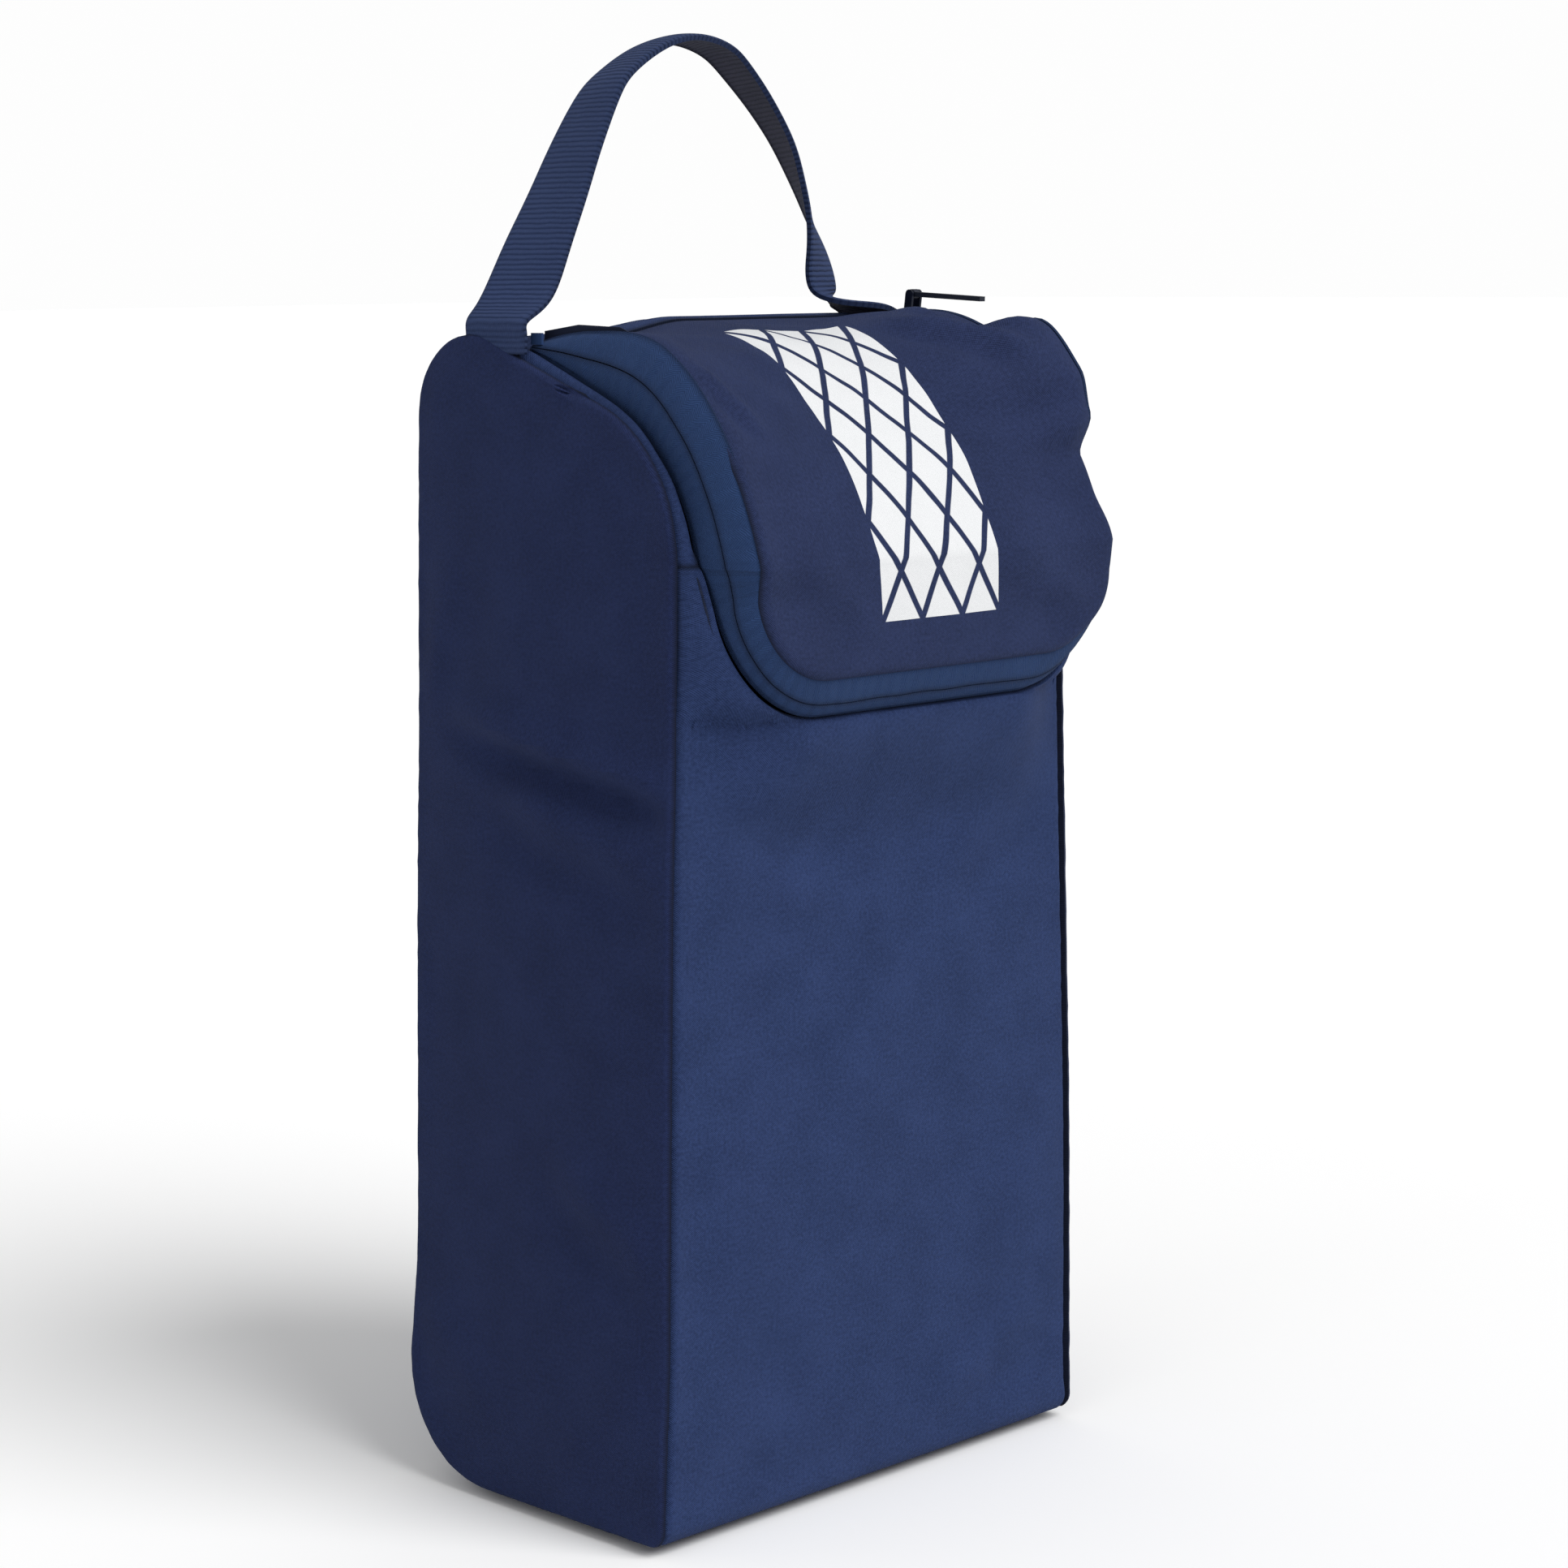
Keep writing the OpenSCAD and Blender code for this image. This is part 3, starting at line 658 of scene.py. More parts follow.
    def outline_front(self, z: float) -> float:
        """Front edge of the side panel at a height."""
        up = (-sind(self.slope), cosd(self.slope))
        t1 = (self.pole[0] + self.shoulder_r * up[0], self.pole[1] + self.shoulder_r * up[1])
        t2 = (self.crown[0] + self.crown_r * up[0], self.crown[1] + self.crown_r * up[1])
        if z < self.foot_front[1]:
            drop = self.foot_front_r**2 - (z - self.foot_front[1]) ** 2
            return self.foot_front[0] - math.sqrt(max(0.0, drop))
        if z < self.pole[1]:
            return -self.depth / 2
        if z < t1[1]:
            return self.pole[0] - math.sqrt(self.shoulder_r**2 - (z - self.pole[1]) ** 2)
        if z < t2[1]:
            return lerp(t1[0], t2[0], (z - t1[1]) / (t2[1] - t1[1]))
        return self.crown[0] - math.sqrt(max(0.0, self.crown_r**2 - (z - self.crown[1]) ** 2))

    def outline_back(self, z: float) -> float:
        """Back edge of the side panel at a height."""
        if z < self.foot_back[1]:
            drop = self.foot_back_r**2 - (z - self.foot_back[1]) ** 2
            return self.foot_back[0] + math.sqrt(max(0.0, drop))
        if z < self.crown[1]:
            return self.depth / 2
        return self.crown[0] + math.sqrt(max(0.0, self.crown_r**2 - (z - self.crown[1]) ** 2))

    def tongue(self, half: float, low_q: float, r: float, s: float) -> tuple[float, float]:
        """Edge of a tongue-shaped panel.

        Args:
            half: half its width.
            low_q: station of its lowest edge.
            r: radius of its front corners.
            s: share of the way from the right back end (0) by the front (1) to the left (2).

        Returns:
            Station and place across.
        """
        side = 1.0 if s <= 1 else -1.0
        t = s if s <= 1 else 2 - s
        if t < 0.5:
            q, x = lerp(self.tape_end_q, 0, t / 0.5), half
        elif t < 0.56:
            q, x = lerp(0, low_q + r, (t - 0.5) / 0.06), half
        elif t < 0.8:
            a = 90 * (t - 0.56) / 0.24
            q, x = low_q + r * (1 - sind(a)), half - r * (1 - cosd(a))
        else:
            q, x = low_q, lerp(half - r, 0, (t - 0.8) / 0.2)
        return q, side * x

    def mouth_edge(self, s: float, inset: float = 0.0) -> tuple[float, float]:
        """Edge of the body's mouth."""
        low = self.mouth_z - self.shoulder_z + inset
        return self.tongue(self.mouth_half_w - inset, low, self.mouth_corner_r - inset, s)

    def lid_edge(self, s: float, inset: float = 0.0) -> tuple[float, float]:
        """Edge of the lid."""
        low = self.lid_z - self.shoulder_z + inset
        return self.tongue(self.lid_half_w - inset, low, self.lid_corner_r - inset, s)

    def wall_point(self, s: float, v: float, inset: float) -> Vector:
        """Point of the zip's wall.

        Args:
            s: share of the way round, as in tongue.
            v: 0 at the body, 1 at the lid.
            inset: depth under the wall's outer face.

        Returns:
            The point.
        """
        q, x = self.mouth_edge(s, inset + self.sew_gap)
        if q < 0:
            reach = self.pole[0] - self.front_y(x, self.shoulder_z + q)
            reach -= self.tape_t * max(0.0, 1 + q / 12)
        else:
            reach = self.body_reach(q, x) - self.tape_t
        foot = self.place(q, x, reach)
        q, x = self.lid_edge(s, inset)
        head = self.lid_place(q, x, self.lid_reach(q, x) - self.cloth_t - self.sew_gap)
        return foot.lerp(head, v)


FORM = BagForm()


@dataclass(frozen=True)
class Fold:
    """A crease in cloth: a ridge with a hollow beside it."""

    start: tuple[float, float]
    end: tuple[float, float]
    width: float
    height: float
    hollow: float = 0.7

    def at(self, u: float, v: float) -> float:
        """Height that the fold adds at a point of the cloth."""
        run = math.dist(self.start, self.end)
        tu, tv = (self.end[0] - self.start[0]) / run, (self.end[1] - self.start[1]) / run
        along = ((u - self.start[0]) * tu + (v - self.start[1]) * tv) / run
        off = ((v - self.start[1]) * tu - (u - self.start[0]) * tv) / self.width
        if not -0.25 < along < 1.25 or abs(off) > 5:
            return 0.0
        fade = ease(min(along + 0.25, 1.25 - along) / 0.5)
        ridge = math.exp(-off * off) - self.hollow * math.exp(-(((off + 1.7) / 1.2) ** 2))
        return self.height * fade * ridge


# --------------------------------------------------------------------------
# Making pieces
# --------------------------------------------------------------------------


def deselect() -> None:
    """Leaves nothing selected."""
    bpy.ops.object.select_all(action="DESELECT")


def pick(piece: bpy.types.Object) -> None:
    """Selects one piece alone."""
    deselect()
    piece.select_set(True)
    bpy.context.view_layer.objects.active = piece


def apply_all(piece: bpy.types.Object) -> None:
    """Applies the piece's modifiers in order."""
    pick(piece)
    for modifier in list(piece.modifiers):
        bpy.ops.object.modifier_apply(modifier=modifier.name)


def cloth_grid(name: str, columns: int, rows: int, place: Place) -> bpy.types.Object:
    """Lays a flat grid of cloth on a surface.

    Args:
        name: the piece's name.
        columns: cells across.
        rows: cells along.
        place: point and place on the cloth, both in millimetres, for a share across and along.

    Returns:
        The open sheet, with its own map in metres.
    """
    deselect()
    bpy.ops.mesh.primitive_grid_add(
        x_subdivisions=columns, y_subdivisions=rows, size=1, calc_uvs=True, location=(0, 0, 0)
    )
    piece = bpy.context.object
    piece.name = piece.data.name = name
    flat: list[tuple[float, float]] = []
    for vertex in piece.data.vertices:
        point, spot = place(vertex.co.x + 0.5, vertex.co.y + 0.5)
        vertex.co = point * MM
        flat.append(spot)
    layer = piece.data.uv_layers[0]
    layer.name = "cloth"
    for loop in piece.data.loops:
        u, v = flat[loop.vertex_index]
        layer.data[loop.index].uv = (u * MM, v * MM)
    piece.data.update()
    return piece


def face_out(piece: bpy.types.Object, core: Vector) -> None:
    """Turns an open sheet's faces away from a point inside the bag."""
    score = sum(
        face.normal.dot(face.center - core * MM) * face.area for face in piece.data.polygons
    )
    if score < 0:
        pick(piece)
        bpy.ops.object.mode_set(mode="EDIT")
        bpy.ops.mesh.select_all(action="SELECT")
        bpy.ops.mesh.flip_normals()
        bpy.ops.object.mode_set(mode="OBJECT")


def paint_seam_shade(piece: bpy.types.Object, reach: float = 1.0) -> None:
    """Notes on an open sheet how near each point lies to a sewn edge, as the weight of painted shade
    that darkens the cloth along its seams.
    """
    mesh = piece.data
    uses = [0] * len(mesh.edges)
    for loop in mesh.loops:
        uses[loop.edge_index] += 1
    rim = {v for edge in mesh.edges if uses[edge.index] == 1 for v in edge.vertices}
    tree = KDTree(len(rim))
    for index in rim:
        tree.insert(mesh.vertices[index].co, index)
    tree.balance()
    # weight of the painted seam shade: 1 on a sewn edge, fading over about a millimetre
    shade = mesh.attributes.new(SEAM_SHADE, "FLOAT", "POINT")
    for vertex in mesh.vertices:
        gap = tree.find(vertex.co)[2] / MM
        shade.data[vertex.index].value = math.exp(-((gap / reach) ** 2))


def thicken(piece: bpy.types.Object, thickness: float, inner_slot: int = 0) -> None:
    """Gives an open sheet its thickness, inwards, and closes its rim."""
    # paints shade along the sheet's sewn edges
    paint_seam_shade(piece)
    wall = piece.modifiers.new("thickness", "SOLIDIFY")
    wall.thickness = thickness * MM
    wall.offset = -1
    wall.use_even_offset = False
    wall.use_rim = True
    wall.material_offset = inner_slot
    wall.material_offset_rim = 0
    apply_all(piece)


def smooth(piece: bpy.types.Object, angle: float = 45.0) -> None:
    """Shades the piece smooth, but for edges sharper than the angle."""
    pick(piece)
    bpy.ops.object.shade_smooth_by_angle(angle=math.radians(angle))


def dress(piece: bpy.types.Object, *materials: bpy.types.Material) -> None:
    """Gives the piece its materials, in slot order."""
    piece.data.materials.clear()
    for material in materials:
        piece.data.materials.append(material)


def sewn_panel(
    name: str,
    cells: tuple[int, int],
    place: Place,
    core: Vector,
    thickness: float,
    *materials: bpy.types.Material,
) -> bpy.types.Object:
    """Makes a closed panel of cloth.

    Args:
        name: the piece's name.
        cells: cells across and along.
        place: as in cloth_grid.
        core: a point inside the bag, in millimetres, that the outer face looks away from.
        thickness: the cloth's thickness.
        materials: the outer face's and, where it has its own, the inner face's.

    Returns:
        The panel.
    """
    piece = cloth_grid(name, *cells, place)
    face_out(piece, core)
    dress(piece, *materials)
    thicken(piece, thickness, len(materials) - 1)
    smooth(piece)
    return piece


def join(name: str, pieces: Sequence[bpy.types.Object], weld: float = 0.0) -> bpy.types.Object:
    """Joins pieces into one and welds points that meet."""
    deselect()
    for piece in pieces:
        piece.select_set(True)
    bpy.context.view_layer.objects.active = pieces[0]
    bpy.ops.object.join()
    made = bpy.context.object
    made.name = made.data.name = name
    if weld:
        bpy.ops.object.mode_set(mode="EDIT")
        bpy.ops.mesh.select_all(action="SELECT")
        bpy.ops.mesh.remove_doubles(threshold=weld * MM)
        bpy.ops.object.mode_set(mode="OBJECT")
    return made


def roll(distance: float, radius: float) -> float:
    """How far cloth has turned in, at a distance from a seam, over a round of this radius."""
    if distance >= radius:
        return 0.0
    return radius - math.sqrt(max(0.0, radius**2 - (radius - max(0.0, distance)) ** 2))


def report(piece: bpy.types.Object, body: str, nodes: Sequence[str]) -> None:
    """Puts a piece on its body and hides the imported parts of the nodes that it stands for."""
    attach(piece, body)
    finish_piece(nodes)
    LOG.info("%s rides on %s", piece.name, body)


def finish_piece(nodes: Sequence[str]) -> None:
    """Hides the imported parts of the nodes that the piece stands for."""
    if nodes:
        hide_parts(*nodes)


def bend_at_hinge(piece: bpy.types.Object, nodes: Sequence[str]) -> None:
    """Bakes a piece of the lid into place and hides the imported parts of the nodes that it stands
    for.
    """
    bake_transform(piece)
    finish_piece(nodes)
    LOG.info("%s bends between the bag and the lid", piece.name)


# --------------------------------------------------------------------------
# Body
# --------------------------------------------------------------------------


@dataclass
class Body:
    """The bag's five cloth panels."""

    finishes: Finishes
    form: BagForm = FORM
    strip_cells: int = 5
    mouth_cells: int = 96
    front_rows: int = 120
    seam_roll: float = 2.6
    lip_roll: float = 2.4
    groove: float = 1.6
    groove_w: float = 1.7
    side_roll: float = 1.9
    under_share: float = 0.06
    front_folds: tuple[Fold, ...] = (
        Fold((-30, 196), (-74, 216), 8, 1.4),
        Fold((30, 200), (66, 226), 9, 1.2),
        Fold((-20, 24), (-70, 40), 10, 1.0),
        Fold((24, 22), (76, 46), 9, 1.3),
        Fold((50, 120), (78, 90), 12, 0.9),
        Fold((-76, 130), (-52, 70), 12, 0.8),
    )
    left_folds: tuple[Fold, ...] = (
        Fold((-57, 238), (28, 252), 5.0, 4.6, 1.0),
        Fold((-52, 212), (10, 230), 8.0, 2.6, 0.8),
        Fold((-54, 92), (-16, 116), 9.0, 2.2, 0.7),
        Fold((-50, 52), (-14, 24), 10.0, 1.6, 0.6),
        Fold((18, 30), (52, 60), 11.0, 1.4, 0.5),
        Fold((40, 300), (54, 256), 9.0, 1.2, 0.6),
    )
    right_folds: tuple[Fold, ...] = (
        Fold((-52, 246), (34, 264), 7.0, 2.4, 0.9),
        Fold((-30, 160), (40, 190), 13.0, 1.5, 0.6),
        Fold((-54, 60), (-10, 30), 12.0, 1.4, 0.5),
    )
    back_folds: tuple[Fold, ...] = (
        Fold((-60, 150), (30, 176), 14.0, 1.5, 0.6),
        Fold((-20, 300), (60, 280), 12.0, 1.4, 0.6),
        Fold((-70, 60), (-10, 84), 13.0, 1.3, 0.6),
    )

    def top_edge(self, i: int) -> tuple[float, float]:
        """Upper edge of the front panel: x and z of a column, from right to left."""
        form = self.form
        last = 2 * self.strip_cells + self.mouth_cells
        if i < self.strip_cells:
            t = i / self.strip_cells
            return lerp(form.wrap_half_w(form.shoulder_z), form.mouth_half_w, t), form.shoulder_z
        if i > last - self.strip_cells:
            x, z = self.top_edge(last - i)
            return -x, z
        s = 0.5 + (i - self.strip_cells) / self.mouth_cells
        q, x = form.mouth_edge(s)
        return x, form.shoulder_z + q

    def front_point(self, share: float, t: float) -> tuple[Vector, tuple[float, float]]:
        """Point of the front panel at a share across (right to left) and up."""
        form = self.form
        last = 2 * self.strip_cells + self.mouth_cells
        i = round(share * last)
        top_x, top_z = self.top_edge(i)
        low_z = form.foot_front[1]
        low_w = form.wrap_half_w(low_z)
        first_x = self.top_edge(0)[0]
        low_x = lerp(top_x / first_x, cosd(180 * i / last), 0.3) * low_w
        if t < self.under_share:
            a = lerp(262, 180, t / self.under_share)
            r = form.foot_front_r
            seam = roll(low_w - abs(low_x), self.seam_roll)
            y = form.foot_front[0] + (r - seam) * cosd(a)
            z = low_z + (r - seam) * sind(a)
            where = Vector((low_x, y, z))
            return form.settled(where), (low_x, low_z - math.radians(a - 180) * r)
        share_up = (t - self.under_share) / (1 - self.under_share)
        up = 1 - (1 - share_up) ** 1.15
        x, z = lerp(low_x, top_x, up), lerp(low_z, top_z, up)
        y = form.front_y(x, z)
        seam = form.wrap_half_w(z) - abs(x)
        lip = math.hypot(x - top_x, z - top_z) if top_z < form.shoulder_z - 0.01 else 99.0
        y += roll(seam, self.seam_roll) + roll(lip, self.lip_roll)
        y += self.dip(seam) * ease((z - low_z) / 8)
        calm = ease(seam / 10) * ease((z - low_z) / 12) * ease(lip / 9)
        y -= calm * self.ripple(x, z, 0.0, self.front_folds)
        y += 0.42 * soft_noise(x, z, 0, 3.4, 5.0) * math.exp(-((seam / 5) ** 2))
        return form.settled(Vector((x, y, z))), (x, z)

    def dip(self, seam: float) -> float:
        """Depth of the groove that the stitches pull, at a distance from the side seam."""
        return self.groove * math.exp(-((seam / self.groove_w) ** 2))

    def ripple(self, u: float, v: float, seed: float, folds: Sequence[Fold]) -> float:
        """Soft unevenness of hanging cloth with its folds."""
        low = 1.3 * soft_noise(u, v, 0, 74, seed + 3.1)
        mid = 0.55 * soft_noise(u, v * 0.7, 0, 29, seed + 7.7)
        fine = 0.12 * soft_noise(u, v, 0, 9, seed + 1.3)
        return low + mid + fine + sum(fold.at(u, v) for fold in folds)

    def strip_point(
        self, side: float, share: float, t: float
    ) -> tuple[Vector, tuple[float, float]]:
        """Point of the shoulder strip between the seam (0) and the mouth (1)."""
        form = self.form
        q = lerp(0, form.back_q, t)
        z = form.place(q, 0, form.seam_reach(q)).z
        x = lerp(form.wrap_half_w(z), form.mouth_half_w, share)
        reach = form.body_reach(q, x)
        away = lerp(form.wrap_half_w(z) - form.mouth_half_w, 0, share)
        seam = form.wrap_half_w(z) - x
        ends = ease(q / 10) if q < 10 else 1.0
        reach -= self.dip(seam)
        reach -= roll(seam, self.seam_roll) + roll(away, self.lip_roll) * ends
        reach += 0.3 * soft_noise(q, x, side * 40, 12, 2.0) * ease(seam / 3)
        return form.settled(form.place(q, side * x, reach)), (side * x, form.run(q))

    def front(self) -> bpy.types.Object:
        """The front panel, in one with the strips beside the zip."""
        last = 2 * self.strip_cells + self.mouth_cells
        sheets = [cloth_grid("front_cloth", last, self.front_rows, self.front_point)]
        for side in (1.0, -1.0):
            sheets.append(
                cloth_grid(
                    "strip", self.strip_cells, 84,
                    lambda a, b, side=side: self.strip_point(side, a, b),
                )
            )
        for sheet in sheets:
            face_out(sheet, Vector((0, 0, 250)))
        piece = join("front_cloth", sheets, weld=0.05)
        dress(piece, self.finishes.shell, self.finishes.backing)
        thicken(piece, self.form.cloth_t, 1)
        smooth(piece)
        return piece

    def side_point(
        self, side: float, share: float, t: float
    ) -> tuple[Vector, tuple[float, float]]:
        """Point of a side panel at a share from front to back and up."""
        form = self.form
        low, high = form.seam_lift, form.height - 0.02
        z = lerp(low, high, crowd(t, 0.65))
        y0, y1 = form.outline_front(z), form.outline_back(z)
        across = crowd(share, 0.6)
        y = lerp(y0, y1, across)
        rise = sind(180 * (z - form.seam_lift) / (form.height - form.seam_lift))
        belly = form.side_belly * max(0.0, rise) ** 0.6 * (1 - (2 * across - 1) ** 2)
        edge = min(self.outline_gap(y, z, y0, y1), 40.0)
        folds = self.left_folds if side < 0 else self.right_folds
        calm = ease(edge / 11)
        x = form.half_w(z) + belly - roll(edge, self.side_roll)
        x += calm * self.ripple(y, z, 11.0 if side < 0 else 23.0, folds)
        x += 0.3 * soft_noise(y, z, side * 9, 4, 4.0) * math.exp(-(((edge - 2) / 4) ** 2))
        return form.settled(Vector((side * x, y, z))), (y, z)

    def outline_gap(self, y: float, z: float, y0: float, y1: float) -> float:
        """Rough distance from a point of the side to the panel's outline."""
        form = self.form
        gap = min(y - y0, y1 - y)
        if z > form.crown[1] and y > form.crown[0]:
            gap = min(gap, form.crown_r - math.dist((y, z), form.crown))
        if y < form.crown[0] and z > form.pole[1]:
            up = (-sind(form.slope), cosd(form.slope))
            flat = (y - form.pole[0]) * up[0] + (z - form.pole[1]) * up[1]
            gap = min(gap, form.shoulder_r - flat)
            if y < form.pole[0]:
                gap = min(gap, form.shoulder_r - math.dist((y, z), form.pole))
        if z < form.foot_back[1]:
            gap = min(gap, z - form.seam_lift)
            if y > form.foot_back[0]:
                gap = min(gap, form.foot_back_r - math.dist((y, z), form.foot_back))
        return max(0.0, gap)

    def sides(self) -> list[bpy.types.Object]:
        """Both side panels."""
        return [
            sewn_panel(
                name, (60, 168), lambda a, b, side=side: self.side_point(side, a, b),
                # the side cloth is the shell's navy darkened as painted shade
                Vector((0, 0, 200)), self.form.cloth_t, self.finishes.side, self.finishes.backing,
            )
            for side, name in ((-1.0, "left_side_cloth"), (1.0, "right_side_cloth"))
        ]

    def back_row(self, t: float) -> tuple[Vector, Vector, float, float]:
        """Row of the back panel: seam point, outward direction, swelling and run of cloth."""
        form = self.form
        (fy, fz), (cy, cz) = form.foot_back, form.crown
        arc1, rise = form.foot_back_r * math.radians(30), cz - fz
        arc2, top = form.crown_r * math.pi / 2, cy - form.hinge_y - 0.4
        total = arc1 + rise + arc2 + top
        s = t * total
        if s < arc1:
            a = -30 + 30 * s / arc1
            out = Vector((0, cosd(a), sind(a)))
            point = Vector((0, fy, fz)) + out * form.foot_back_r
            return point, out, form.back_belly * (a + 30) / 60, s
        if s < arc1 + rise:
            u = (s - arc1) / rise
            swell = form.back_belly * (0.6 + 0.4 * sind(180 * u))
            return Vector((0, form.depth / 2, lerp(fz, cz, u))), Vector((0, 1, 0)), swell, s
        if s < arc1 + rise + arc2:
            a = 90 * (s - arc1 - rise) / arc2
            out = Vector((0, cosd(a), sind(a)))
            swell = lerp(form.back_belly * 0.6, form.crown_rise / 4, a / 90)
            return Vector((0, cy, cz)) + out * form.crown_r, out, swell, s
        u = (s - arc1 - rise - arc2) / top
        y = lerp(cy, form.hinge_y + 0.4, u)
        ramp = form.shoulder_r / cosd(form.slope) + (y - form.pole[0]) * math.tan(
            math.radians(form.slope)
        )
        z = form.pole[1] + min(cz + form.crown_r - form.pole[1], ramp)
        swell = lerp(form.crown_rise / 4, form.crown_rise, ease(u))
        return Vector((0, y, z)), Vector((0, 0, 1)), swell, s

    def back_point(self, share: float, t: float) -> tuple[Vector, tuple[float, float]]:
        """Point of the back panel at a share across and up."""
        form = self.form
        point, out, swell, run = self.back_row(t)
        half = form.wrap_half_w(point.z)
        across = 2 * crowd(share, 0.6) - 1
        x = across * half
        seam = half - abs(x)
        push = swell * ease((1 - abs(across)) / 0.2) - roll(seam, self.seam_roll)
        calm = ease(seam / 10) * ease(run / 14) * ease((1 - t) / 0.05)
        push += calm * self.ripple(x, run, 31.0, self.back_folds)
        push += table(form.left_sink, 70 + 43 * t**8) * ease((-x - 12) / 34) * ease(seam / 14)
        where = point + out * push
        return form.settled(Vector((x, where.y, where.z))), (x, run)

    def back(self) -> bpy.types.Object:
        """The back panel, which comes over the top to the lid's hinge."""
        return sewn_panel(
            "back_cloth", (90, 170), self.back_point,
            Vector((0, 0, 250)), self.form.cloth_t, self.finishes.shell, self.finishes.backing,
        )

    def base_point(self, share: float, t: float) -> tuple[Vector, tuple[float, float]]:
        """Point of the base panel at a share across and from front to back."""
        form = self.form
        (ry, rz), (by, bz) = form.foot_front, form.foot_back
        arc1 = form.foot_front_r * math.radians(6)
        flat = by - ry
        arc2 = form.foot_back_r * math.radians(59)
        s = t * (arc1 + flat + arc2)
        if s < arc1:
            a = 264 + 6 * s / arc1
            out = Vector((0, cosd(a), sind(a)))
            point, swell = Vector((0, ry, rz)) + out * form.foot_front_r, 0.0
        elif s < arc1 + flat:
            u = (s - arc1) / flat
            out = Vector((0, 0, -1))
            point = Vector((0, lerp(ry, by, u), form.seam_lift))
            swell = form.seam_lift * ease(u / 0.22)
        else:
            a = -90 + 59 * (s - arc1 - flat) / arc2
            out = Vector((0, cosd(a), sind(a)))
            point = Vector((0, by, bz)) + out * form.foot_back_r
            swell = form.seam_lift * (1 - ease((a + 90) / 50))
        half = form.wrap_half_w(point.z)
        across = 2 * crowd(share, 0.6) - 1
        x = across * half
        seam = half - abs(x)
        push = swell * ease((1 - abs(across)) / 0.2) - roll(seam, self.seam_roll)
        where = point + out * push
        return form.settled(Vector((x, where.y, where.z))), (x, s)

    def base(self) -> bpy.types.Object:
        """The base panel."""
        return sewn_panel(
            "base_cloth", (90, 70), self.base_point,
            # the base takes the side cloth, the shell's navy darkened as painted shade
            Vector((0, 0, 100)), self.form.cloth_t, self.finishes.side, self.finishes.backing,
        )

    def build(self) -> None:
        """Makes the panels and puts them on the bag."""
        report(
            self.front(), "bag",
            ["front_panel", "left_shoulder_gusset", "right_shoulder_gusset"],
        )
        left, right = self.sides()
        report(left, "bag", ["left_side_panel"])
        report(right, "bag", ["right_side_panel"])
        report(self.back(), "bag", ["back_panel"])
        report(self.base(), "bag", ["base_panel"])


# --------------------------------------------------------------------------
# Lid
# --------------------------------------------------------------------------


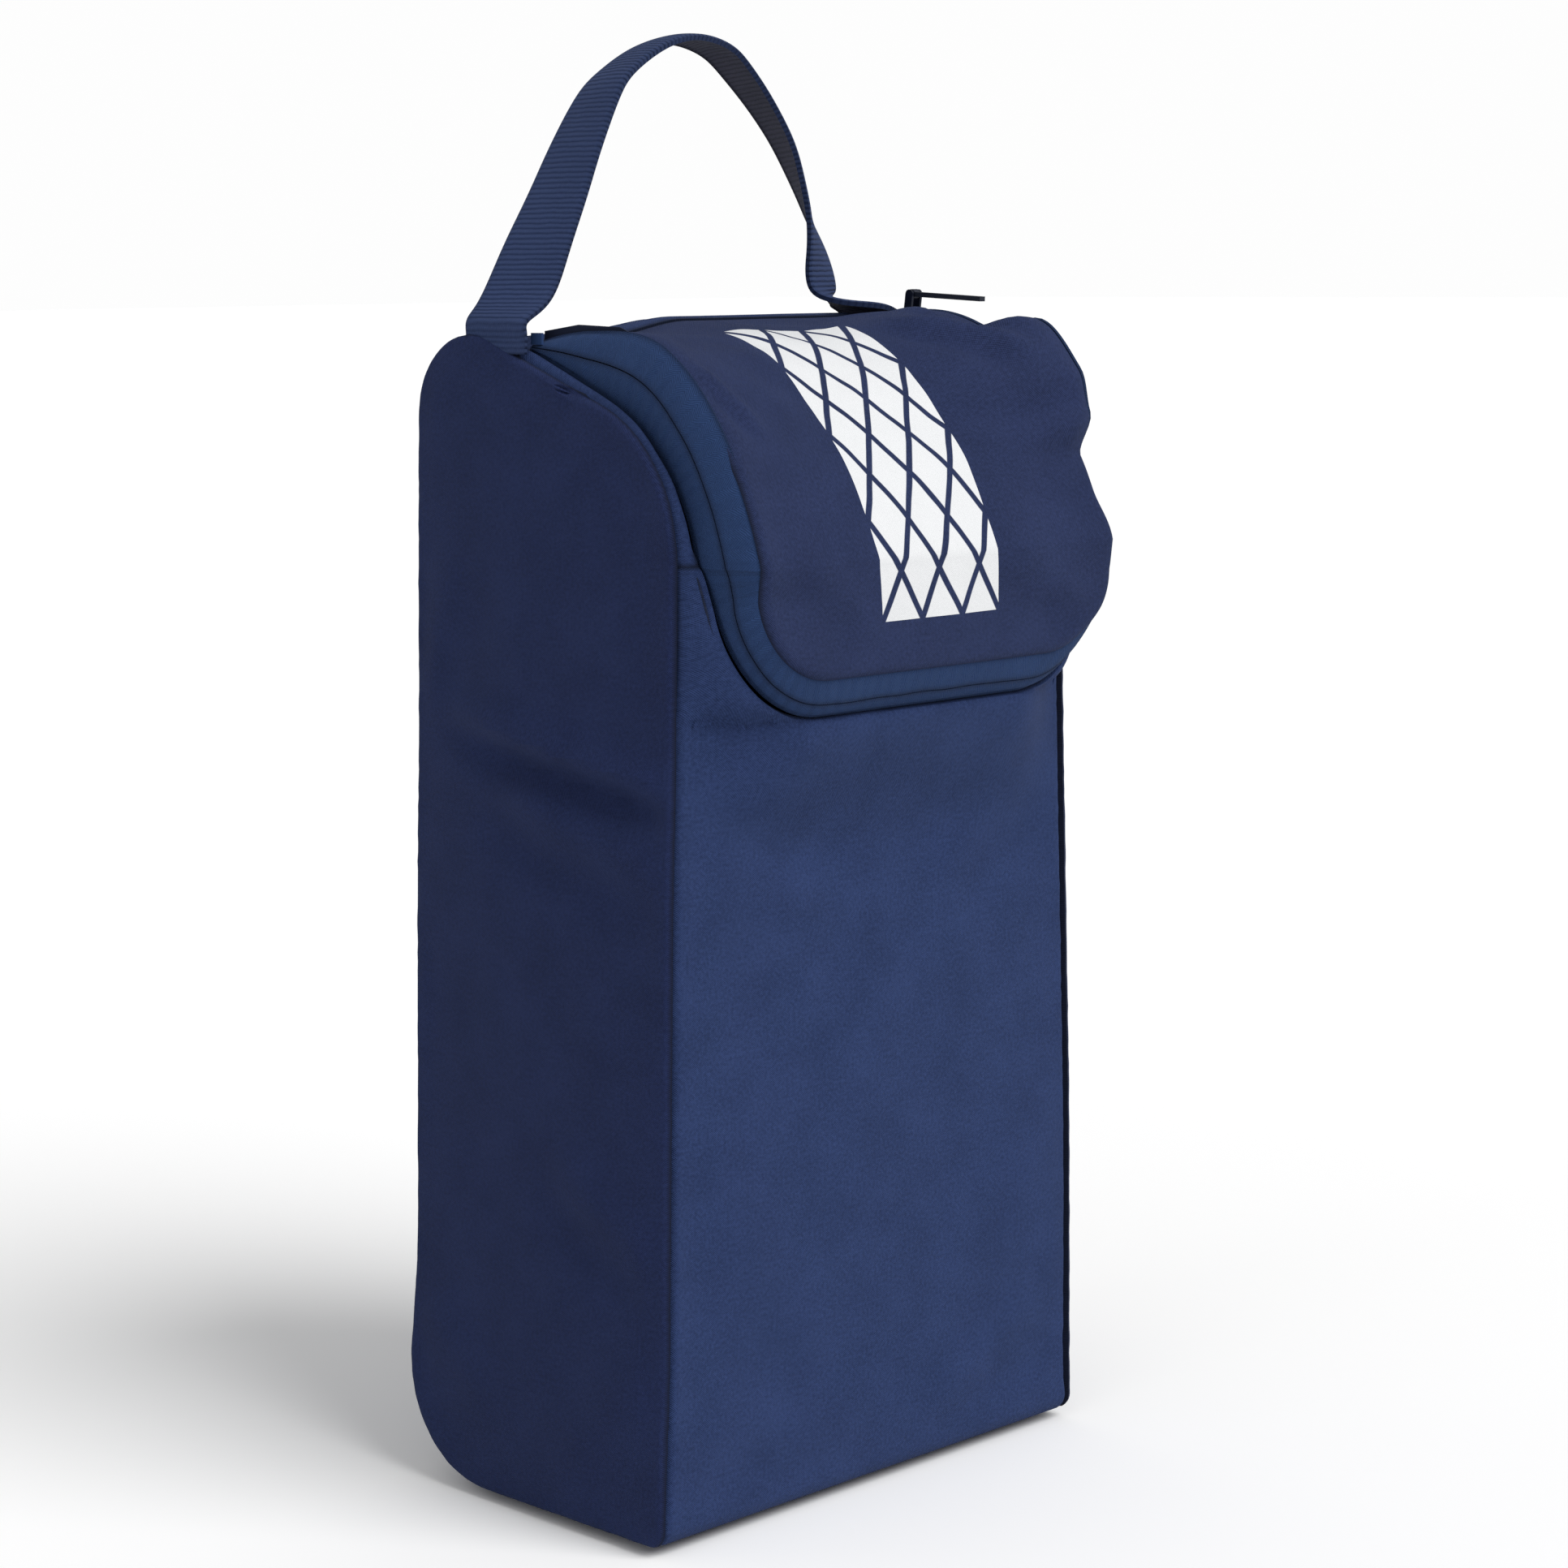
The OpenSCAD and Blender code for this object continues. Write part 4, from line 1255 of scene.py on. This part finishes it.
@dataclass
class Lid:
    """The lid's cloth and its lining."""

    finishes: Finishes
    form: BagForm = FORM
    edge_roll: float = 3.2
    lining_t: float = 0.7
    folds: tuple[Fold, ...] = (
        Fold((42, 394), (60, 364), 3.6, 2.6, 1.0),
        Fold((56, 402), (68, 372), 3.6, 1.8, 0.9),
        Fold((-72, 368), (-58, 348), 3.4, 2.0, 1.0),
        Fold((72, 338), (46, 331), 6.0, 2.2, 0.9),
        Fold((-66, 392), (-40, 404), 6.0, 1.4, 0.7),
        Fold((-60, 306), (-36, 290), 7.0, 1.2, 0.6),
        Fold((34, 300), (62, 288), 7.0, 1.4, 0.7),
    )

    def outline(self, t: float, inset: float) -> tuple[float, float]:
        """Station and half width of a row, from the front edge to the hinge."""
        form = self.form
        low, r = form.lid_z - form.shoulder_z + inset, form.lid_corner_r - inset
        half = form.lid_half_w - inset
        corner = 0.24
        if t < corner:
            a = 90 * t / corner
            q = low + r * (1 - cosd(a))
        else:
            q = lerp(low + r, form.back_q, (t - corner) / (1 - corner))
        e = min(r, q - low)
        return q, half - r + math.sqrt(max(0.0, r**2 - (r - e) ** 2))

    def edge_gap(self, q: float, x: float, inset: float) -> float:
        """Distance from a point of the lid to its sewn edge."""
        form = self.form
        low, r = form.lid_z - form.shoulder_z + inset, form.lid_corner_r - inset
        half = form.lid_half_w - inset
        dx, dq = half - abs(x), q - low
        if dx < r and dq < r:
            return max(0.0, r - math.hypot(r - dx, r - dq))
        return max(0.0, min(dx, dq))

    def point(self, share: float, t: float, inset: float, under: float) -> tuple[Vector, tuple]:
        """Point of the lid at a share across (left to right) and from front to back."""
        form = self.form
        q, half = self.outline(t, inset)
        x = (2 * crowd(share, 0.5) - 1) * half
        gap = self.edge_gap(q, x, inset)
        run = form.run(q)
        back = ease((form.back_q - q) / 14)
        soft = table(((-20, 0.0), (18, 0.0), (44, 1.0)), q)
        reach = form.lid_reach(q, x)
        reach -= roll(gap, lerp(self.edge_roll, 9.0, soft)) * lerp(0.85, 0.5, soft)
        calm = ease(gap / 8) * back
        reach += calm * (
            1.5 * soft_noise(x, run, 0, 44, 41.0)
            + 0.75 * soft_noise(x, run, 0, 17, 12.0)
            + 0.2 * soft_noise(x, run, 0, 7, 15.0)
            + sum(fold.at(x, run) for fold in self.folds)
        )
        return form.lid_place(q, x, reach - under), (x, run)

    def cloth(self) -> bpy.types.Object:
        """The lid's outer cloth."""
        return sewn_panel(
            "lid_cloth", (96, 120), lambda a, b: self.point(a, b, 0.0, 0.0),
            Vector((0, 0, 300)), self.form.cloth_t, self.finishes.lid, self.finishes.backing,
        )

    def lining(self) -> bpy.types.Object:
        """The lining inside the lid."""
        form = self.form
        under, inset = form.cloth_t + 0.3, form.tape_t + 2 * form.sew_gap
        return sewn_panel(
            "lid_lining_cloth", (60, 70), lambda a, b: self.point(a, b, inset, under),
            Vector((0, 0, 300)), self.lining_t, self.finishes.lining,
        )

    def build(self) -> None:
        """Makes the lid's cloth and its lining."""
        bend_at_hinge(self.cloth(), ["lid_panel"])
        bend_at_hinge(self.lining(), ["lid_lining"])


# --------------------------------------------------------------------------
# Zip
# --------------------------------------------------------------------------


@dataclass
class ZipBand:
    """Both zip tapes and their coils, in a wall round the mouth."""

    finishes: Finishes
    form: BagForm = FORM
    split: float = 0.35
    bulge: float = 3.0
    sink: float = 1.0
    coil_pitch: float = 1.5
    thread_r: float = 0.34
    weave_t: float = 0.9
    cells: int = 300

    def point(self, s: float, v: float, under: float = 0.0) -> Vector:
        """Point of the wall's outer face, which bulges a little between its seams."""
        outside = self.form.wall_point(s, v, 0.0)
        inside = self.form.wall_point(s, v, self.form.tape_t)
        out = (outside - inside).normalized()
        push = self.bulge * math.sin(math.pi * min(1.0, max(0.0, v))) ** 0.6 - self.sink
        push += 0.3 * soft_noise(outside.x, outside.y, outside.z, 16, 9.0) * max(0.0, push)
        return outside + out * (push - under)

    def wall_height(self, s: float) -> float:
        """Height of the wall from the body to the lid."""
        return (self.form.wall_point(s, 1, 0) - self.form.wall_point(s, 0, 0)).length

    def strip(self, name: str, low: bool) -> bpy.types.Object:
        """One tape, tucked under the cloth that it is sewn to."""

        def place(share: float, t: float) -> tuple[Vector, tuple[float, float]]:
            s = 2 * share
            middle, height = 0.5, self.wall_height(s)
            gap = self.split / 2 / height
            tuck = 1.6 / height
            if low:
                v = lerp(-tuck, middle - gap, t)
            else:
                v = lerp(middle + gap, 1 + tuck * 0.6, t)
            point = self.point(s, v, roll(abs(v - middle) * height, 0.5) * 0.6)
            return point, (share * 620, v * height)

        return sewn_panel(
            name, (self.cells, 10), place, Vector((0, 0, 300)), self.weave_t, self.finishes.tape
        )

    def coil(self, name: str, side: float) -> bpy.types.Object:
        """One coil: a row of loops behind its tape.

        Args:
            name: the piece's name.
            side: -1 for the bag's coil, 1 for the lid's.

        Returns:
            The coil.
        """
        length = sum(
            (self.point((i + 1) / 60, 0.5) - self.point(i / 60, 0.5)).length for i in range(120)
        )
        turns = int(length / self.coil_pitch)
        around, steps = 5, 8

        def centre(t: float) -> Vector:
            s = 2 * min(1.0, max(0.0, t))
            height = self.wall_height(s)
            a = 2 * math.pi * turns * t
            v = 0.5 + side * (0.95 + 0.85 * math.cos(a)) / height
            return self.point(s, v, 1.75 + 0.6 * math.sin(a))

        def place(share: float, t: float) -> tuple[Vector, tuple[float, float]]:
            here, ahead = centre(t), centre(t + 0.2 / (turns * steps))
            along = (ahead - here).normalized()
            lean = along.cross(Vector((0.3, 0.5, 0.8))).normalized()
            other = along.cross(lean)
            a = 2 * math.pi * share
            spot = here + (lean * math.cos(a) + other * math.sin(a)) * self.thread_r
            return spot, (share * 2, t * length)

        piece = cloth_grid(name, around, turns * steps, place)
        pick(piece)
        bpy.ops.object.mode_set(mode="EDIT")
        bpy.ops.mesh.select_all(action="SELECT")
        bpy.ops.mesh.remove_doubles(threshold=0.00001)
        bpy.ops.mesh.select_all(action="DESELECT")
        bpy.ops.mesh.select_non_manifold()
        bpy.ops.mesh.fill_holes(sides=0)
        bpy.ops.mesh.select_all(action="SELECT")
        bpy.ops.mesh.normals_make_consistent(inside=False)
        bpy.ops.object.mode_set(mode="OBJECT")
        dress(piece, self.finishes.coil)
        smooth(piece, 60)
        return piece

    def build(self) -> None:
        """Makes the tapes and the coils."""
        report(self.strip("bag_tape", True), "bag", ["zip_tape_bag"])
        bend_at_hinge(self.strip("lid_tape", False), ["zip_tape_lid"])
        report(self.coil("bag_coil", -1.0), "bag", ["zip_coil_bag"])
        bend_at_hinge(self.coil("lid_coil", 1.0), ["zip_coil_lid"])


# --------------------------------------------------------------------------
# Handle
# --------------------------------------------------------------------------


@dataclass
class Handle:
    """The loop of webbing, in one with the ends that are sewn into the side seams."""

    finishes: Finishes
    form: BagForm = FORM
    width: float = 28.0
    thickness: float = 1.6
    rise: float = 89.0
    front_y: float = 9.0
    foot_z: float = 376.2
    low_z: float = 366.0
    bend_low_z: float = 374.0
    bend_high_z: float = 402.0
    middle: Vector = field(default_factory=lambda: Vector((0, 23, 376)))
    line: tuple[tuple[float, float, float], ...] = (
        (-1, 0, 0), (-0.93, 0.05, -8), (-0.87, 0.12, -11), (-0.79, 0.265, -6),
        (-0.69, 0.435, 1), (-0.595, 0.605, 7), (-0.485, 0.775, 13), (-0.39, 0.865, 18),
        (-0.225, 0.955, 21), (-0.04, 1, 22), (0.14, 0.965, 22), (0.26, 0.885, 24),
        (0.4, 0.755, 28), (0.515, 0.62, 32), (0.6, 0.465, 39), (0.65, 0.35, 45),
        (0.69, 0.245, 55), (0.71, 0.15, 63), (0.735, 0.08, 60), (0.8, 0.045, 35),
        (0.92, 0.03, 8), (1, 0, 0),
    )

    def knots(self) -> list[tuple[float, float, float]]:
        """Points of the middle line in millimetres with the webbing's turn, from left to right."""
        root = self.form.half_w(self.form.height) - 1.0
        loop = [(x * root, self.foot_z + z * self.rise, turn) for x, z, turn in self.line]
        ends = [((-root - 0.4, self.low_z, 0.0), (-root, 371.5, 0.0)),
                ((root, 371.5, 0.0), (root + 0.4, self.low_z, 0.0))]
        return [*ends[0], *loop, *ends[1]]

    def spine(self, t: float, knots: Sequence[tuple[float, float, float]]) -> list[float]:
        """Place across, height and turn at a share of the way along the knots."""
        count = len(knots) - 1
        i = min(count - 1, max(0, int(t * count)))
        u = t * count - i
        a, b, c, d = (knots[min(count, max(0, i + k))] for k in (-1, 0, 1, 2))
        return [
            0.5 * (2 * b[k] + (c[k] - a[k]) * u + (2 * a[k] - 5 * b[k] + 4 * c[k] - d[k]) * u**2
                   + (3 * b[k] - a[k] - 3 * c[k] + d[k]) * u**3)
            for k in range(3)
        ]

    def loop(self) -> bpy.types.Object:
        """The whole webbing."""
        knots = self.knots()
        steps = 600
        trail = [self.spine(i / steps, knots) for i in range(steps + 1)]
        runs = [0.0]
        for a, b in zip(trail, trail[1:]):
            runs.append(runs[-1] + math.hypot(b[0] - a[0], b[1] - a[1]))
        smoothed = [
            [sum(trail[min(steps, max(0, i + k))][n] for k in range(-9, 10)) / 19 for n in range(3)]
            if 20 < i < steps - 20 else trail[i]
            for i in range(steps + 1)
        ]

        def at(goal: float) -> tuple[float, float, float]:
            k = min(steps - 1, max(0, bisect_right(runs, goal) - 1))
            u = (goal - runs[k]) / (runs[k + 1] - runs[k])
            first, second = smoothed[k], smoothed[k + 1]
            return tuple(lerp(first[n], second[n], u) for n in range(3))

        def place(share: float, t: float) -> tuple[Vector, tuple[float, float]]:
            goal = t * runs[-1]
            x, z, turn = at(goal)
            x1, z1, _ = at(min(runs[-1], goal + 0.8))
            x0, z0, _ = at(max(0.0, goal - 0.8))
            along = Vector((x1 - x0, 0, z1 - z0)).normalized()
            wide = Vector((sind(turn), cosd(turn), 0))
            out = along.cross(wide).normalized()
            across = (share - 0.5) * self.width
            free = math.sin(math.pi * t) ** 2
            curl = 0.7 * (1 - (2 * share - 1) ** 2) * free
            wave = 0.3 * soft_noise(across, goal, 0, 20, 6.0) * free
            edge = roll(self.width / 2 - abs(across), 0.9) * 0.6
            middle = Vector((x, self.front_y + self.width / 2, z))
            point = middle + wide * across + out * (self.thickness / 2 + curl + wave - edge)
            return point, (across, goal)

        piece = cloth_grid("handle_webbing_loop", 20, 320, place)
        face_out(piece, self.middle)
        # the inner face takes the webbing's copy with painted shade
        dress(piece, self.finishes.webbing, self.finishes.webbing_back_painted_shade)
        thicken(piece, self.thickness, 1)
        smooth(piece, 60)
        return piece

    def build(self) -> None:
        """Makes the webbing and hides the imported parts of the nodes that it stands for."""
        piece = self.loop()
        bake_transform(piece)
        finish_piece(["handle_webbing", "left_handle_root", "right_handle_root"])
        LOG.info("%s bends between the bag and the handle", piece.name)


# --------------------------------------------------------------------------
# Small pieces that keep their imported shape
# --------------------------------------------------------------------------


@dataclass
class Trim:
    """Bindings, zip ends, slider and pull, which take a better finish."""

    finishes: Finishes
    keeps: dict[str, str] = field(
        default_factory=lambda: {
            "left_seam_binding": "binding", "right_seam_binding": "binding",
            "base_seam_binding": "binding", "lid_seam_binding": "binding",
            "left_zip_end_tab": "tape", "right_zip_end_tab": "tape",
            "slider_body": "slider", "pull_tab": "pull",
        }
    )

    def build(self) -> None:
        """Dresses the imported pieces."""
        for node, finish in self.keeps.items():
            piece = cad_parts[node]
            dress(piece, getattr(self.finishes, finish))
            LOG.info("%s keeps its shape", node)


# --------------------------------------------------------------------------
# Studio
# --------------------------------------------------------------------------


@dataclass
class Studio:
    """Floor, light and camera."""

    target: Vector = field(default_factory=lambda: Vector((0.01726, 0, 0.22241)))
    distance: float = 1.2
    azimuth: float = -45.17
    pitch: float = 8.17
    tilt: float = -0.5
    lens: float = 83.2
    sky: float = 0.40
    key: float = 2.0
    fill: float = 0.35
    white: float = 0.985
    floor_white: float = 1.12

    def camera(self) -> None:
        """Sets the camera."""
        a, e = math.radians(self.azimuth), math.radians(self.pitch)
        back = Vector((math.sin(a) * math.cos(e), -math.cos(a) * math.cos(e), math.sin(e)))
        forward = -back
        right = forward.cross(Vector((0, 0, 1))).normalized()
        up = right.cross(forward)
        r = math.radians(self.tilt)
        side = right * math.cos(r) + up * math.sin(r)
        top = up * math.cos(r) - right * math.sin(r)
        turn = Matrix((side, top, back)).transposed().to_4x4()
        deselect()
        bpy.ops.object.camera_add()
        made = bpy.context.object
        made.matrix_world = Matrix.Translation(self.target + back * self.distance) @ turn
        made.data.lens, made.data.sensor_width = self.lens, 36.0
        made.data.clip_start, made.data.clip_end = 0.05, 60
        bpy.context.scene.camera = made

    def sun(self, name: str, strength: float, azimuth: float, height: float, spread: float) -> None:
        """Adds a far lamp.

        Args:
            name: its name.
            strength: its light on a face turned to it.
            azimuth: where it stands, 0 in front and 90 at the right, in degrees.
            height: its height above the floor's horizon, in degrees.
            spread: its apparent size, in degrees.
        """
        deselect()
        bpy.ops.object.light_add(type="SUN")
        lamp = bpy.context.object
        lamp.name = name
        lamp.data.energy, lamp.data.angle = strength, math.radians(spread)
        towards = Vector(
            (sind(azimuth) * cosd(height), -cosd(azimuth) * cosd(height), sind(height))
        )
        lamp.rotation_euler = towards.to_track_quat("Z", "Y").to_euler()

    def world(self) -> None:
        """Even pale light from all round, white to the eye."""
        world = bpy.data.worlds.new("studio_air")
        bpy.context.scene.world = world
        world.use_nodes = True
        nodes, links = world.node_tree.nodes, world.node_tree.links
        nodes.clear()
        path = nodes.new("ShaderNodeLightPath")
        seen = nodes.new("ShaderNodeMath")
        seen.operation = "MAXIMUM"
        links.new(path.outputs["Is Camera Ray"], seen.inputs[0])
        links.new(path.outputs["Is Transmission Ray"], seen.inputs[1])
        strength = nodes.new("ShaderNodeMapRange")
        for index, value in ((1, 0.0), (2, 1.0), (3, self.sky), (4, self.white)):
            strength.inputs[index].default_value = value
        links.new(seen.outputs[0], strength.inputs[0])
        air = nodes.new("ShaderNodeBackground")
        air.inputs["Color"].default_value = (1, 1, 1, 1)
        links.new(strength.outputs[0], air.inputs["Strength"])
        out = nodes.new("ShaderNodeOutputWorld")
        links.new(air.outputs[0], out.inputs["Surface"])

    def floor(self) -> None:
        """A wide pale floor."""
        deselect()
        bpy.ops.mesh.primitive_plane_add(size=60, location=(0, 0, -0.0004))
        plane = bpy.context.object
        plane.name = "studio_floor"
        recipe = Recipe("pale_floor")
        grain = recipe.spot(recipe.solid(), 0.4, 1.0)
        shade = recipe.mix(grain, (0.80, 0.80, 0.80), (0.81, 0.81, 0.81))
        seen = recipe.node("ShaderNodeLightPath", {}, {}, "Is Camera Ray")
        white = recipe.mix(seen, shade, (self.floor_white,) * 3)
        dress(plane, recipe.matt(white))

    def build(self) -> None:
        """Sets up the studio."""
        self.camera()
        self.world()
        self.floor()
        self.sun("key", self.key, 8, 46, 40)
        self.sun("fill", self.fill, -70, 30, 60)
        bpy.context.scene.view_settings.view_transform = "Standard"


def main() -> None:
    """Builds the bag and its studio."""
    logging.basicConfig(level=logging.INFO, format="%(message)s")
    finishes = Finishes()
    Studio().build()
    for part in (Body(finishes), Lid(finishes), ZipBand(finishes), Handle(finishes), Trim(finishes)):
        part.build()
        LOG.info("%s done", type(part).__name__)


if __name__ == "__main__":
    main()
